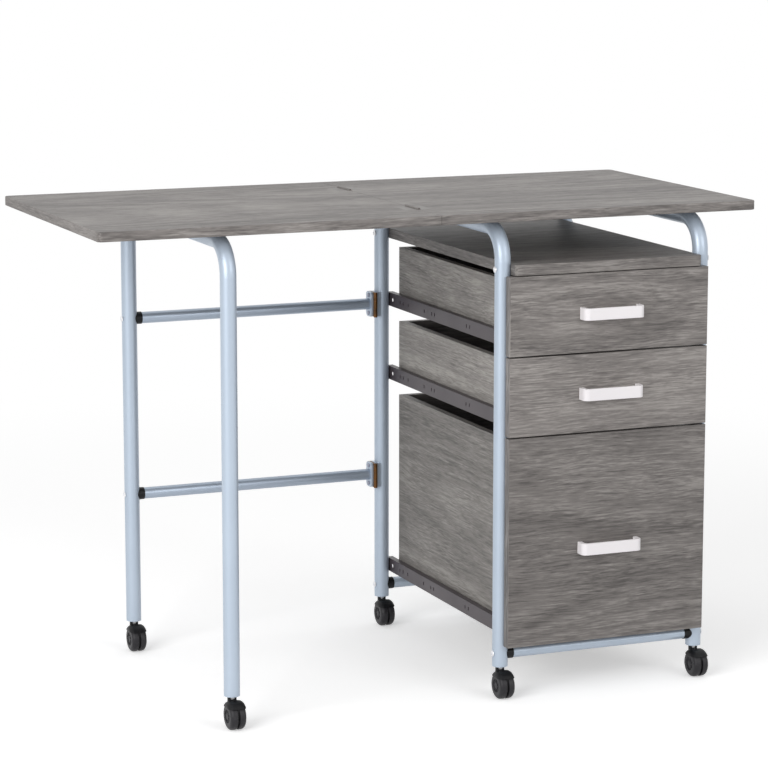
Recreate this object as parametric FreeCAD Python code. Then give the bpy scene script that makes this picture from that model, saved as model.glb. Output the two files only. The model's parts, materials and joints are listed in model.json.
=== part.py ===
import FreeCAD, Part
import math
import os
from FreeCAD import Vector

# A folding desk: a drawer unit between two bent-tube frames, a desk top in two halves whose left half folds
# over onto the right one, and a leg frame that swings on two hinges at the rear left post.
# Millimetres. +X runs along the desk, +Y from front to back, +Z up from the floor.

# Desk top
TOP_LENGTH = 1095.0
TOP_DEPTH = 520.0
TOP_HEIGHT = 775.0
BOARD = 15.0
CORNER_R = 8.0
EDGE_R = 1.5
SEAM = 0.6

# Bent-tube frames
TUBE_R = 12.5
TUBE_WALL = 1.5
BEND_R = 50.0
UNIT_WIDTH = 346.0
UNIT_INSET = 93.0
LEG_INSET = 205.0
SEAT_GAP = 0.3
LEAF_GAP = 0.5

# Straight tubes between the frames, with their saddle caps
RAIL_R = 9.5
RAIL_WALL = 1.5
RAIL_RISE = 21.0
CAP_R = 10.25
CAP_LENGTH = 7.5
CAP_PLUG = 17.5
GATE_RISES = (217.0, 514.0)

# Fasteners
BOLT_R = 3.0
BOLT_HEAD_R = 5.0
BOLT_HEAD = 2.2
BOLT_DOME_R = 1.8
BOLT_BITE = 22.0
SCREW_R = 2.0
SCREW_HEAD_R = 4.0
SCREW_HEAD = 2.0
TOP_SCREW_BITE = 10.0
TOP_SCREW_INSET = 130.0
TOP_SCREW_ACCESS = 1.0
HOLE_GAP = 0.2
FIT = 0.05

# Two places nearer than this count as one
TOUCH = 1e-6

# Hinges of the leg frame, closed face to face at rest
GATE_HINGE_HEIGHT = 41.0
GATE_HINGE_WIDTH = 25.0
GATE_LEAF = 2.5
GATE_BARREL_R = 3.25
GATE_PIN_R = 1.5
GATE_PAD = 2.5
LEAF_SPACE = 0.6
FLANGE = 3.0
FLANGE_HEIGHT = 43.0
FLANGE_CORNER_R = 7.0
EAR_RISE = 15.5
EAR_SCREW_R = 1.75
EAR_SCREW_HEAD_R = 3.5
KNUCKLE_GAP = 0.5
PIN_HEAD = 0.8

# Hinges of the folding half, let in flush and open flat at rest
TOP_HINGE_LENGTH = 50.0
TOP_HINGE_REACH = 22.0
TOP_HINGE_SPREAD = 290.0
TOP_PLATE = 1.5
TOP_BARREL_R = 2.5
TOP_PIN_R = 1.2
TOP_AXIS_RISE = 0.3
TOP_SCREW_ROW = 13.0
TOP_SCREW_PITCH = 32.0
TOP_SCREW_R = 1.5
TOP_SCREW_HEAD_R = 2.9
TOP_SCREW_LENGTH = 10.0

# Drawers
SMALL_FRONT = 125.0
FRONT_GAP = 2.5
FRONT_RISE = 34.7
FRONT_CLEAR = 1.5
SIDE_BOARD = 12.0
BOX_BELOW = 9.0
BOX_ABOVE = 14.0
BOX_BACK_GAP = 18.0
BOTTOM_BOARD = 3.0
BOTTOM_RISE = 6.0
GROOVE_DEPTH = 5.0
FRONT_EDGE_R = 0.8

# Drawer slides
SLIDE_SPACE = 12.5
SLIDE_HEIGHT = 23.0
SLIDE_SHEET = 1.2
SLIDE_LIP = 1.8
SLIDE_PAST = 6.0
POST_GAP = 0.2
RUNNER_HEIGHT = 12.0
RUNNER_FLANGE = 7.5
RUNNER_RISE = 4.0
GLIDE_LENGTH = 25.0
GLIDE_GAP = 0.3
GLIDE_SETBACK = 8.0
SLIDE_HOLE_R = 3.5
SLIDE_HOLE_FROM_REAR = 18.0
SLOT_WIDTH = 3.0
SLOT_HEIGHT = 6.0
SLOTS_FROM_REAR = (52.0, 66.0, 87.0, 156.0, 187.0, 199.0, 329.0, 342.0)

# Shelf board above the drawers
SHELF_BOARD = 16.8
SHELF_DROP = 66.3
SHELF_GAP = 1.4
SHELF_SETBACK = 3.0
SHELF_END = 10.0
SHELF_BACK = 8.0
SHELF_CORNER_R = 5.5
NOTCH_GAP = 0.3

# Bow handles
HANDLE_LENGTH = 105.0
HANDLE_HEIGHT = 19.0
HANDLE_REACH = 20.0
HANDLE_BAR = 4.0
HANDLE_LEG = 7.0
HANDLE_CORNER_R = 9.0
HANDLE_EDGE_R = 0.8
HANDLE_SCREW_BITE = 10.0
HANDLE_DROP = 15.0

# Casters
LEG_RISE = 50.0
WHEEL_R = 21.5
WHEEL_WIDTH = 11.0
WHEEL_SHOULDER_R = 6.0
WHEEL_INNER_R = 1.5
WHEEL_DISH_R = 10.5
WHEEL_DISH = 1.5
WHEEL_CAP_R = 5.0
TRAIL = 13.0
WEB = 2.6
WEB_GAP = 0.5
AXLE_R = 2.5
AXLE_BOSS_R = 17.5
HOOD_GAP = 0.6
HOOD_SHELL = 1.2
HOOD_EDGE = 14.0
NECK_R = 7.2
NECK_GAP = 1.3
EAR_HEIGHT = 3.5
EAR_SPREAD = 9.2
COLLAR_R = 4.4
STEM_R = 3.9
STEM_BITE = 15.0
SOCKET_LENGTH = 16.0

# Worked out from the sizes above. The origin is on the floor, in the middle of the whole outline.
FRONT_REACH = FRONT_CLEAR + BOARD + HANDLE_REACH
TOP_FRONT = (FRONT_REACH - TOP_DEPTH) / 2
TOP_BACK = TOP_FRONT + TOP_DEPTH
TOP_MID = (TOP_FRONT + TOP_BACK) / 2
TOP_RIGHT = TOP_LENGTH / 2
TOP_UNDER = TOP_HEIGHT - BOARD
TOP_TUBE_Z = TOP_UNDER - SEAT_GAP - TUBE_R
POST_FRONT = TOP_FRONT + TUBE_R
POST_BACK = TOP_BACK - TUBE_R
UNIT_RIGHT = TOP_RIGHT - UNIT_INSET
UNIT_LEFT = UNIT_RIGHT - UNIT_WIDTH
UNIT_MID = (UNIT_LEFT + UNIT_RIGHT) / 2
LEG_X = LEG_INSET - TOP_RIGHT
RAIL_Z = LEG_RISE + RAIL_RISE
SHELF_Z = TOP_UNDER - SHELF_DROP - SHELF_BOARD / 2
FRONT_TOP = SHELF_Z - SHELF_BOARD / 2 - SHELF_GAP
FRONT_BASE = LEG_RISE + FRONT_RISE
TALL_FRONT = FRONT_TOP - FRONT_BASE - 2 * (SMALL_FRONT + FRONT_GAP)
FRONT_HEIGHTS = (TALL_FRONT, SMALL_FRONT, SMALL_FRONT)
FRONT_BACK_Y = POST_FRONT - TUBE_R - FRONT_CLEAR
FRONT_FACE_Y = FRONT_BACK_Y - BOARD
BOX_BACK_Y = POST_BACK - BOX_BACK_GAP
SIDE_OUT = TUBE_R + SLIDE_SPACE
HINGE_X = UNIT_LEFT - TUBE_R - GATE_PAD - GATE_LEAF - LEAF_SPACE / 2
HINGE_Y = POST_BACK - GATE_HINGE_WIDTH / 2 - GATE_BARREL_R - KNUCKLE_GAP
FLANGE_X = HINGE_X - LEAF_SPACE / 2 - GATE_LEAF
TOP_AXIS_Z = TOP_HEIGHT + TOP_AXIS_RISE
TOP_HINGES_Y = (TOP_MID - TOP_HINGE_SPREAD / 2, TOP_MID + TOP_HINGE_SPREAD / 2)
GATE_HINGES_Z = tuple(LEG_RISE + rise for rise in GATE_RISES)

EAST = Vector(1, 0, 0)
NORTH = Vector(0, 1, 0)
UP = Vector(0, 0, 1)


def block(x0, x1, y0, y1, z0, z1):
    """A box from its lowest to its highest corner."""
    return Part.makeBox(x1 - x0, y1 - y0, z1 - z0, Vector(x0, y0, z0))


def rod(radius, start, along, length):
    """A cylinder from a start point along a direction."""
    return Part.makeCylinder(radius, length, start, along)


def cone(radius, tip_radius, start, along, length):
    """A cone from a start point along a direction."""
    return Part.makeCone(radius, tip_radius, length, start, along)


def cut_all(shape, tools):
    """The shape with every tool cut away."""
    for tool in tools:
        shape = shape.cut(tool)
    return shape


def edges_along(shape, direction):
    """The straight edges of a shape that run along a direction."""
    found = []
    for edge in shape.Edges:
        span = edge.Vertexes[-1].Point - edge.Vertexes[0].Point
        if span.Length > 0 and span.cross(direction).Length < TOUCH:
            found.append(edge)
    return found


def save(node, *shapes):
    """Write a node's solids to its own file."""
    solids = [solid for shape in shapes for solid in shape.Solids]
    Part.makeCompound(solids).exportStep("parts/" + node + ".step")


def posts():
    """The four posts of the drawer unit: x, y, and the way in along X."""
    for y in (POST_FRONT, POST_BACK):
        yield UNIT_LEFT, y, 1
        yield UNIT_RIGHT, y, -1


# Desk top


def half_top(side):
    """One half of the desk top: side 1 is the fixed half on the right, -1 the folding half on the left."""
    ends = sorted((side * SEAM / 2, side * TOP_RIGHT))
    board = block(ends[0], ends[1], TOP_FRONT, TOP_BACK, TOP_UNDER, TOP_HEIGHT)
    outer = [e for e in edges_along(board, UP) if side * e.CenterOfMass.x > TOP_RIGHT / 2]
    board = board.makeFillet(CORNER_R, outer)
    seam_face = side * SEAM / 2
    rims = [e for e in board.Edges if not near_seam(e, seam_face) and abs(e.BoundBox.ZLength) < TOUCH]
    board = board.makeFillet(EDGE_R, rims)
    for y in TOP_HINGES_Y:
        board = board.cut(top_plate(side, y))
        room = TOP_HINGE_LENGTH + 2 * (PIN_HEAD + KNUCKLE_GAP)
        start = Vector(0, y - room / 2, TOP_AXIS_Z)
        board = board.cut(rod(TOP_BARREL_R + KNUCKLE_GAP, start, NORTH, room))
        board = cut_all(board, [top_screw(side, y, row, FIT) for row in (-1, 1)])
    return board


def near_seam(edge, seam_face):
    """Whether an edge lies on the face at the seam."""
    return abs(edge.CenterOfMass.x - seam_face) < TOUCH and edge.BoundBox.XLength < TOUCH


def top_plate(side, y):
    """The flat plate of a flush hinge, on one side of the seam."""
    ends = sorted((side * SEAM / 2, side * TOP_HINGE_REACH))
    half = TOP_HINGE_LENGTH / 2
    return block(ends[0], ends[1], y - half, y + half, TOP_HEIGHT - TOP_PLATE, TOP_HEIGHT)


def top_screw(side, y, row, gap=0.0):
    """A countersunk screw of a flush hinge, or with a gap the hole that it goes through."""
    start = Vector(side * TOP_SCREW_ROW, y + row * TOP_SCREW_PITCH / 2, TOP_HEIGHT)
    head = cone(TOP_SCREW_HEAD_R + gap, TOP_SCREW_R + gap, start, -UP, TOP_PLATE)
    shank = rod(TOP_SCREW_R + gap, start, -UP, TOP_SCREW_LENGTH + gap)
    return head.fuse(shank)


def knuckle_spans(length):
    """The stretches of a three-knuckle barrel from its middle: the two outer ones, and the inner one."""
    each = (length - 2 * KNUCKLE_GAP) / 3
    half = length / 2
    return [(-half, -half + each), (half - each, half)], [(-each / 2, each / 2)]


def hinge_leaf(plate, middle, along, barrel_r, pin_r, own, other):
    """A hinge leaf: its plate with its own knuckles, cleared round the other leaf's and bored for the pin."""
    leaf = plate
    for low, high in own:
        leaf = leaf.fuse(rod(barrel_r, middle + along * low, along, high - low))
    for low, high in other:
        start = middle + along * (low - KNUCKLE_GAP)
        leaf = leaf.cut(rod(barrel_r + KNUCKLE_GAP, start, along, high - low + 2 * KNUCKLE_GAP))
    length = 2 * max(high for low, high in own + other)
    bore = rod(pin_r + FIT, middle - along * length / 2, along, length)
    return leaf.cut(bore).removeSplitter()


def hinge_pin(middle, along, length, pin_r, head_r):
    """A hinge pin with a thin head past each end of the barrel."""
    pin = rod(pin_r, middle - along * (length / 2 + PIN_HEAD), along, length + 2 * PIN_HEAD)
    for end in (-1, 1):
        pin = pin.fuse(rod(head_r, middle + along * (end * length / 2), along * end, PIN_HEAD))
    return pin.removeSplitter()


def top_hinges():
    """The flush hinges: fixed leaves, folding leaves, pins, and the screws of each side."""
    outer, inner = knuckle_spans(TOP_HINGE_LENGTH)
    fixed, moving, pins, fixed_screws, moving_screws = [], [], [], [], []
    for y in TOP_HINGES_Y:
        middle = Vector(0, y, TOP_AXIS_Z)
        for side, own, other, leaves, screws in (
            (1, outer, inner, fixed, fixed_screws),
            (-1, inner, outer, moving, moving_screws),
        ):
            plate = cut_all(top_plate(side, y), [top_screw(side, y, row, FIT) for row in (-1, 1)])
            leaves.append(hinge_leaf(plate, middle, NORTH, TOP_BARREL_R, TOP_PIN_R, own, other))
            screws.extend(top_screw(side, y, row) for row in (-1, 1))
        pins.append(hinge_pin(middle, NORTH, TOP_HINGE_LENGTH, TOP_PIN_R, TOP_BARREL_R))
    return fixed, moving, pins, fixed_screws, moving_screws


# Bent-tube frames


def bent_path(x, beam_z):
    """The centre line of a frame: up the front post, back under the desk top, down the rear post."""
    turn = BEND_R * (1 - math.cos(math.pi / 4))
    bend_z = beam_z - BEND_R
    front = [Vector(x, POST_FRONT, bend_z), Vector(x, POST_FRONT + turn, beam_z - turn),
             Vector(x, POST_FRONT + BEND_R, beam_z)]
    back = [Vector(x, POST_BACK - BEND_R, beam_z), Vector(x, POST_BACK - turn, beam_z - turn),
            Vector(x, POST_BACK, bend_z)]
    foot, heel = Vector(x, POST_FRONT, LEG_RISE), Vector(x, POST_BACK, LEG_RISE)
    return Part.Wire([
        Part.LineSegment(foot, front[0]).toShape(),
        Part.Arc(*front).toShape(),
        Part.LineSegment(front[2], back[0]).toShape(),
        Part.Arc(*back).toShape(),
        Part.LineSegment(back[2], heel).toShape(),
    ])


def bent_tube(x, beam_z):
    """A hollow tube along a frame's centre line."""
    path = bent_path(x, beam_z)
    foot = Vector(x, POST_FRONT, LEG_RISE)
    walls = []
    for radius in (TUBE_R, TUBE_R - TUBE_WALL):
        ring = Part.Wire([Part.makeCircle(radius, foot, UP)])
        walls.append(path.makePipeShell([ring], True, False))
    return walls[0].cut(walls[1])


def side_frame(x, inward):
    """A side frame of the drawer unit, drilled for its bolts and screws."""
    tube = bent_tube(x, TOP_TUBE_Z)
    for y in (POST_FRONT, POST_BACK):
        tube = tube.cut(post_bolt(x, y, RAIL_Z, inward, HOLE_GAP))
        tube = tube.cut(post_bolt(x, y, SHELF_Z, inward, HOLE_GAP))
        tube = cut_all(tube, [slide_screw(x, y, slide_z(i), inward, FIT) for i in range(len(FRONT_HEIGHTS))])
    for y in top_screw_places():
        tube = tube.cut(top_fixing_screw(x, y, HOLE_GAP)).cut(screw_access(x, y))
    if x == UNIT_LEFT:
        tube = cut_all(tube, [post_hinge_screw(z, end, FIT) for z in GATE_HINGES_Z for end in (-1, 1)])
    return tube


def leg_frame():
    """The frame that carries the folding half, drilled for the bolts of its two long tubes."""
    tube = bent_tube(LEG_X, TOP_UNDER - LEAF_GAP - TUBE_R)
    return cut_all(tube, [post_bolt(LEG_X, POST_BACK, z, 1, HOLE_GAP) for z in GATE_HINGES_Z])


def caster_socket(x, y):
    """The plug in a tube end that takes a caster's stem."""
    foot = Vector(x, y, LEG_RISE)
    plug = rod(TUBE_R - TUBE_WALL - FIT, foot, UP, SOCKET_LENGTH)
    return plug.cut(rod(STEM_R + FIT, foot, UP, SOCKET_LENGTH))


def post_bolt(x, y, z, inward, gap=0.0):
    """A bolt through a post, with its head on the outer side, or with a gap the hole for its shank."""
    seat = Vector(x - inward * (TUBE_R + FIT), y, z)
    length = 2 * TUBE_R + BOLT_BITE
    if gap:
        return rod(BOLT_R + gap, seat - EAST * (inward * gap), EAST * inward, 2 * TUBE_R + 2 * gap + FIT)
    bolt = rod(BOLT_R, seat, EAST * inward, length)
    head = rod(BOLT_HEAD_R, seat, EAST * -inward, BOLT_HEAD)
    rim = [e for e in head.Edges if abs(e.CenterOfMass.x - seat.x) > BOLT_HEAD / 2]
    return bolt.fuse(head.makeFillet(BOLT_DOME_R, rim))


def bolt_pocket(x, y, z, inward):
    """The blind hole in whatever a post bolt screws into."""
    return rod(BOLT_R + FIT, Vector(x, y, z), EAST * inward, TUBE_R + BOLT_BITE + FIT)


def top_screw_places():
    """Where the screws go up through a side frame into the desk top."""
    return POST_FRONT + TOP_SCREW_INSET, POST_BACK - TOP_SCREW_INSET


def top_fixing_screw(x, y, gap=0.0):
    """A screw up through the upper wall of a frame's top tube into the desk top, or with a gap its hole."""
    inside_r = TUBE_R - TUBE_WALL
    seat = Vector(x, y, TOP_TUBE_Z + math.sqrt(inside_r ** 2 - SCREW_HEAD_R ** 2) - FIT)
    shank = rod(SCREW_R + gap, seat, UP, TOP_UNDER + TOP_SCREW_BITE + gap - seat.z)
    if gap:
        return shank
    return shank.fuse(rod(SCREW_HEAD_R, seat, -UP, SCREW_HEAD))


def screw_access(x, y):
    """The hole in a top tube's lower wall that its screw goes in by."""
    return rod(SCREW_HEAD_R + TOP_SCREW_ACCESS, Vector(x, y, TOP_TUBE_Z - TUBE_R), UP, TUBE_R)


# Straight tubes with their saddle caps


def saddle_cap(x, y, z, inward):
    """A plug in a straight tube's end, shaped to sit on a round post and bored for the bolt."""
    start = Vector(x, y, z)
    body = rod(CAP_R, start, EAST * inward, TUBE_R + CAP_LENGTH)
    plug = rod(RAIL_R - RAIL_WALL - FIT, start, EAST * inward, TUBE_R + CAP_LENGTH + CAP_PLUG)
    post = rod(TUBE_R + FIT, Vector(x, y, z - 2 * CAP_R), UP, 4 * CAP_R)
    return body.fuse(plug).cut(post).cut(bolt_pocket(x, y, z, inward)).removeSplitter()


def straight_tube(x0, x1, y, z):
    """A hollow tube along X."""
    start = Vector(x0, y, z)
    return rod(RAIL_R, start, EAST, x1 - x0).cut(rod(RAIL_R - RAIL_WALL, start, EAST, x1 - x0))


def bottom_rail(y):
    """A rail between the two posts at the front or the back."""
    room = TUBE_R + CAP_LENGTH
    return straight_tube(UNIT_LEFT + room, UNIT_RIGHT - room, y, RAIL_Z)


def gate_tube(z):
    """A long tube of the leg frame, from its cap to its hinge flange."""
    return straight_tube(LEG_X + TUBE_R + CAP_LENGTH, FLANGE_X - FLANGE, POST_BACK, z)


# Hinges of the leg frame


def gate_plate(x0, x1, z):
    """The flat plate of a leg frame hinge, reaching forward to its barrel."""
    half = GATE_HINGE_HEIGHT / 2
    return block(x0, x1, HINGE_Y, POST_BACK + GATE_HINGE_WIDTH / 2, z - half, z + half)


def ear_screw(z, end, gap=0.0):
    """A screw through a flange ear into the hinge leaf behind it, or with a gap its hole."""
    seat = Vector(FLANGE_X - FLANGE, POST_BACK, z + end * EAR_RISE)
    shank = rod(EAR_SCREW_R + gap, seat, EAST, FLANGE + GATE_LEAF)
    if gap:
        return shank
    return shank.fuse(rod(EAR_SCREW_HEAD_R, seat, -EAST, SCREW_HEAD))


def post_hinge_screw(z, end, gap=0.0):
    """A countersunk screw through a hinge leaf and its pad into the post, or with a gap its hole."""
    seat = Vector(HINGE_X + LEAF_SPACE / 2, POST_BACK, z + end * EAR_RISE)
    head = cone(EAR_SCREW_HEAD_R + gap, EAR_SCREW_R + gap, seat, EAST, GATE_LEAF)
    reach = GATE_LEAF + GATE_PAD + 2 * TUBE_WALL
    return head.fuse(rod(EAR_SCREW_R + gap, seat, EAST, reach + gap))


def hinge_flange(z):
    """The eared plate at a long tube's end."""
    half_y, half_z = GATE_HINGE_WIDTH / 2, FLANGE_HEIGHT / 2
    plate = block(FLANGE_X - FLANGE, FLANGE_X, POST_BACK - half_y, POST_BACK + half_y, z - half_z, z + half_z)
    plate = plate.makeFillet(FLANGE_CORNER_R, edges_along(plate, EAST))
    return cut_all(plate, [ear_screw(z, end, FIT) for end in (-1, 1)])


def hinge_pad(z):
    """The saddle between the round post and a flat hinge leaf."""
    half_y, half_z = GATE_HINGE_WIDTH / 2, GATE_HINGE_HEIGHT / 2
    face = UNIT_LEFT - TUBE_R - GATE_PAD
    pad = block(face, UNIT_LEFT - TUBE_R / 2, POST_BACK - half_y, POST_BACK + half_y, z - half_z, z + half_z)
    post = rod(TUBE_R + FIT, Vector(UNIT_LEFT, POST_BACK, z - half_z), UP, 2 * half_z)
    return cut_all(pad.cut(post), [post_hinge_screw(z, end, FIT) for end in (-1, 1)])


def gate_hinges():
    """The leg frame's hinges: post leaves, gate leaves and pins."""
    outer, inner = knuckle_spans(GATE_HINGE_HEIGHT)
    near, far = LEAF_SPACE / 2, LEAF_SPACE / 2 + GATE_LEAF
    post_leaves, gate_leaves, pins = [], [], []
    for z in GATE_HINGES_Z:
        middle = Vector(HINGE_X, HINGE_Y, z)
        plate = gate_plate(HINGE_X + near, HINGE_X + far, z)
        plate = cut_all(plate, [post_hinge_screw(z, end, FIT) for end in (-1, 1)])
        post_leaves.append(hinge_leaf(plate, middle, UP, GATE_BARREL_R, GATE_PIN_R, outer, inner))
        plate = gate_plate(HINGE_X - far, HINGE_X - near, z)
        plate = cut_all(plate, [ear_screw(z, end, FIT) for end in (-1, 1)])
        gate_leaves.append(hinge_leaf(plate, middle, UP, GATE_BARREL_R, GATE_PIN_R, inner, outer))
        pins.append(hinge_pin(middle, UP, GATE_HINGE_HEIGHT, GATE_PIN_R, GATE_BARREL_R))
    return post_leaves, gate_leaves, pins


# Drawers and their slides


def front_span(index):
    """The lowest and highest point of a drawer front, counted from the bottom drawer up."""
    low = FRONT_BASE + sum(FRONT_HEIGHTS[:index]) + index * FRONT_GAP
    return low, low + FRONT_HEIGHTS[index]


def slide_z(index):
    """The middle height of a drawer's slides."""
    return front_span(index)[0] + BOX_BELOW + SLIDE_HEIGHT / 2


def handle_places(index):
    """The middle of a drawer's handle, and the X of its two legs."""
    low, high = front_span(index)
    leg = (HANDLE_LENGTH - HANDLE_LEG) / 2
    drop = HANDLE_DROP if FRONT_HEIGHTS[index] > SMALL_FRONT else 0.0
    return (low + high) / 2 - drop, (UNIT_MID - leg, UNIT_MID + leg)


def handle_screw(x, z, gap=0.0):
    """A screw through a drawer front into a handle's leg, or with a gap its hole."""
    seat = Vector(x, FRONT_BACK_Y, z)
    shank = rod(SCREW_R + gap, seat, -NORTH, BOARD + HANDLE_SCREW_BITE + gap)
    if gap:
        return shank
    return shank.fuse(rod(SCREW_HEAD_R, seat, NORTH, SCREW_HEAD))


def drawer_front(index):
    """A drawer front, which laps over the posts to their middles."""
    low, high = front_span(index)
    board = block(UNIT_LEFT, UNIT_RIGHT, FRONT_FACE_Y, FRONT_BACK_Y, low, high)
    rims = [e for e in board.Edges if abs(e.CenterOfMass.y - FRONT_FACE_Y) < TOUCH]
    board = board.makeFillet(FRONT_EDGE_R, rims)
    z, legs = handle_places(index)
    return cut_all(board, [handle_screw(x, z, FIT) for x in legs])


def drawer_box(index):
    """The two sides and the back of a drawer, grooved for its bottom."""
    low, high = front_span(index)
    low, high = low + BOX_BELOW, high - BOX_ABOVE
    left, right = UNIT_LEFT + SIDE_OUT, UNIT_RIGHT - SIDE_OUT
    groove = drawer_bottom(index)
    sides = [
        block(left, left + SIDE_BOARD, FRONT_BACK_Y, BOX_BACK_Y, low, high).cut(groove),
        block(right - SIDE_BOARD, right, FRONT_BACK_Y, BOX_BACK_Y, low, high).cut(groove),
    ]
    back_low = low + BOTTOM_RISE + BOTTOM_BOARD
    back = block(left + SIDE_BOARD, right - SIDE_BOARD, BOX_BACK_Y - SIDE_BOARD, BOX_BACK_Y, back_low, high)
    return sides + [back]


def drawer_bottom(index):
    """A drawer's bottom board, which runs in grooves in the sides and under the back."""
    low = front_span(index)[0] + BOX_BELOW + BOTTOM_RISE
    edge = SIDE_OUT + SIDE_BOARD - GROOVE_DEPTH
    return block(UNIT_LEFT + edge, UNIT_RIGHT - edge, FRONT_BACK_Y, BOX_BACK_Y, low, low + BOTTOM_BOARD)


def drawer_handle(index):
    """A bow handle: a flat bar with a leg at each end, and its screws."""
    z, legs = handle_places(index)
    half, high = HANDLE_LENGTH / 2, HANDLE_HEIGHT / 2
    tip = FRONT_FACE_Y - HANDLE_REACH
    bow = block(UNIT_MID - half, UNIT_MID + half, tip, FRONT_FACE_Y, z - high, z + high)
    bow = bow.makeFillet(HANDLE_CORNER_R, [e for e in edges_along(bow, UP) if e.CenterOfMass.y < tip + TOUCH])
    inside = half - HANDLE_LEG
    grip = block(UNIT_MID - inside, UNIT_MID + inside, tip + HANDLE_BAR, FRONT_FACE_Y, z - high, z + high)
    grip = grip.makeFillet(HANDLE_CORNER_R - HANDLE_BAR,
                           [e for e in edges_along(grip, UP) if e.CenterOfMass.y < tip + HANDLE_BAR + TOUCH])
    level = [e for e in bow.Edges if abs(e.BoundBox.ZLength) < TOUCH]
    outline = [e for e in level if e.CenterOfMass.y < FRONT_FACE_Y - TOUCH]
    bow = bow.makeFillet(HANDLE_EDGE_R, outline).cut(grip)
    screws = [handle_screw(x, z) for x in legs]
    return [cut_all(bow, [handle_screw(x, z, FIT) for x in legs])] + screws


def slide_screw(x, y, z, inward, gap=0.0):
    """A screw that holds a slide rail to a post, or with a gap its hole."""
    face = Vector(x + inward * (TUBE_R + POST_GAP + SLIDE_SHEET), y, z)
    shank = rod(SCREW_R + gap, face, EAST * -inward, SLIDE_SHEET + POST_GAP + 2 * TUBE_WALL + gap)
    if gap:
        return shank
    return shank.fuse(rod(SCREW_HEAD_R, face, EAST * inward, SCREW_HEAD))


def across(x, inward, near, far):
    """The two ends along X of a stretch that starts at a post's middle and runs inward."""
    return sorted((x + inward * near, x + inward * far))


def slide_rail(x, inward, z):
    """A slide's rail: a channel fixed to two posts, open towards the drawer, with slots in its web."""
    y0, y1 = POST_FRONT - SLIDE_PAST, POST_BACK + SLIDE_PAST
    near = TUBE_R + POST_GAP
    high = SLIDE_HEIGHT / 2
    rail = block(*across(x, inward, near, SIDE_OUT - SLIDE_LIP), y0, y1, z - high, z + high)
    hollow = across(x, inward, near + SLIDE_SHEET, SIDE_OUT)
    rail = rail.cut(block(*hollow, y0, y1, z - high + SLIDE_SHEET, z + high - SLIDE_SHEET))
    web = across(x, inward, TUBE_R, near + SLIDE_SHEET + POST_GAP)
    for back in SLOTS_FROM_REAR:
        y = POST_BACK - back
        wide, tall = SLOT_WIDTH / 2, SLOT_HEIGHT / 2
        rail = rail.cut(block(*web, y - wide, y + wide, z - tall, z + tall))
    hole = Vector(web[0], POST_BACK - SLIDE_HOLE_FROM_REAR, z)
    rail = rail.cut(rod(SLIDE_HOLE_R, hole, EAST, web[1] - web[0]))
    return cut_all(rail, [slide_screw(x, y, z, inward, FIT) for y in (POST_FRONT, POST_BACK)])


def rail_glide(x, inward, z):
    """The nylon block at a rail's front end, which the drawer's runner slides on."""
    ends = across(x, inward, TUBE_R + POST_GAP + SLIDE_SHEET, SIDE_OUT - SLIDE_SHEET - GLIDE_GAP)
    start = POST_FRONT + GLIDE_SETBACK
    floor = z - SLIDE_HEIGHT / 2 + SLIDE_SHEET
    return block(*ends, start, start + GLIDE_LENGTH, floor, z + RUNNER_RISE - SLIDE_SHEET - GLIDE_GAP)


def runner(x, inward, z):
    """A drawer's runner: an angle on the box side whose flange runs in the rail."""
    y0, y1 = FRONT_BACK_Y, BOX_BACK_Y
    half = RUNNER_HEIGHT / 2
    web = block(*across(x, inward, SIDE_OUT - SLIDE_SHEET, SIDE_OUT), y0, y1, z - half, z + half)
    ends = across(x, inward, SIDE_OUT - SLIDE_SHEET - RUNNER_FLANGE, SIDE_OUT - SLIDE_SHEET)
    return web.fuse(block(*ends, y0, y1, z + RUNNER_RISE - SLIDE_SHEET, z + RUNNER_RISE)).removeSplitter()


def runner_shoe(x, inward, z):
    """The nylon shoe at a runner's back end, which fills the rail."""
    near = TUBE_R + POST_GAP + SLIDE_SHEET + GLIDE_GAP
    high = SLIDE_HEIGHT / 2 - SLIDE_SHEET - GLIDE_GAP
    ends = across(x, inward, near, SIDE_OUT - SLIDE_SHEET)
    shoe = block(*ends, BOX_BACK_Y - GLIDE_LENGTH, BOX_BACK_Y, z - high, z + high)
    return shoe.cut(runner(x, inward, z))


def shelf():
    """The shelf board, notched round the four posts and drilled for their bolts."""
    z0, z1 = SHELF_Z - SHELF_BOARD / 2, SHELF_Z + SHELF_BOARD / 2
    front = FRONT_FACE_Y + SHELF_SETBACK
    board = block(UNIT_LEFT + SHELF_END, UNIT_RIGHT - SHELF_END, front, POST_BACK + SHELF_BACK, z0, z1)
    corners = [e for e in edges_along(board, UP) if e.CenterOfMass.y < POST_FRONT]
    board = board.makeFillet(SHELF_CORNER_R, corners)
    for x, y, inward in posts():
        board = board.cut(rod(TUBE_R + NOTCH_GAP, Vector(x, y, z0), UP, SHELF_BOARD))
        board = board.cut(bolt_pocket(x, y, SHELF_Z, inward))
    return board


# Casters


def wheel_room(x, y, extra):
    """A drum round a caster's two wheels, wider by the extra on every side and rounded at its ends."""
    radius = WHEEL_R + extra
    span = WEB + 2 * (WEB_GAP + WHEEL_WIDTH + extra)
    drum = rod(radius, Vector(x - span / 2, y - TRAIL, WHEEL_R), EAST, span)
    rims = [e for e in drum.Edges if e.BoundBox.XLength < TOUCH]
    return drum.makeFillet(WHEEL_SHOULDER_R + extra, rims)


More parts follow.
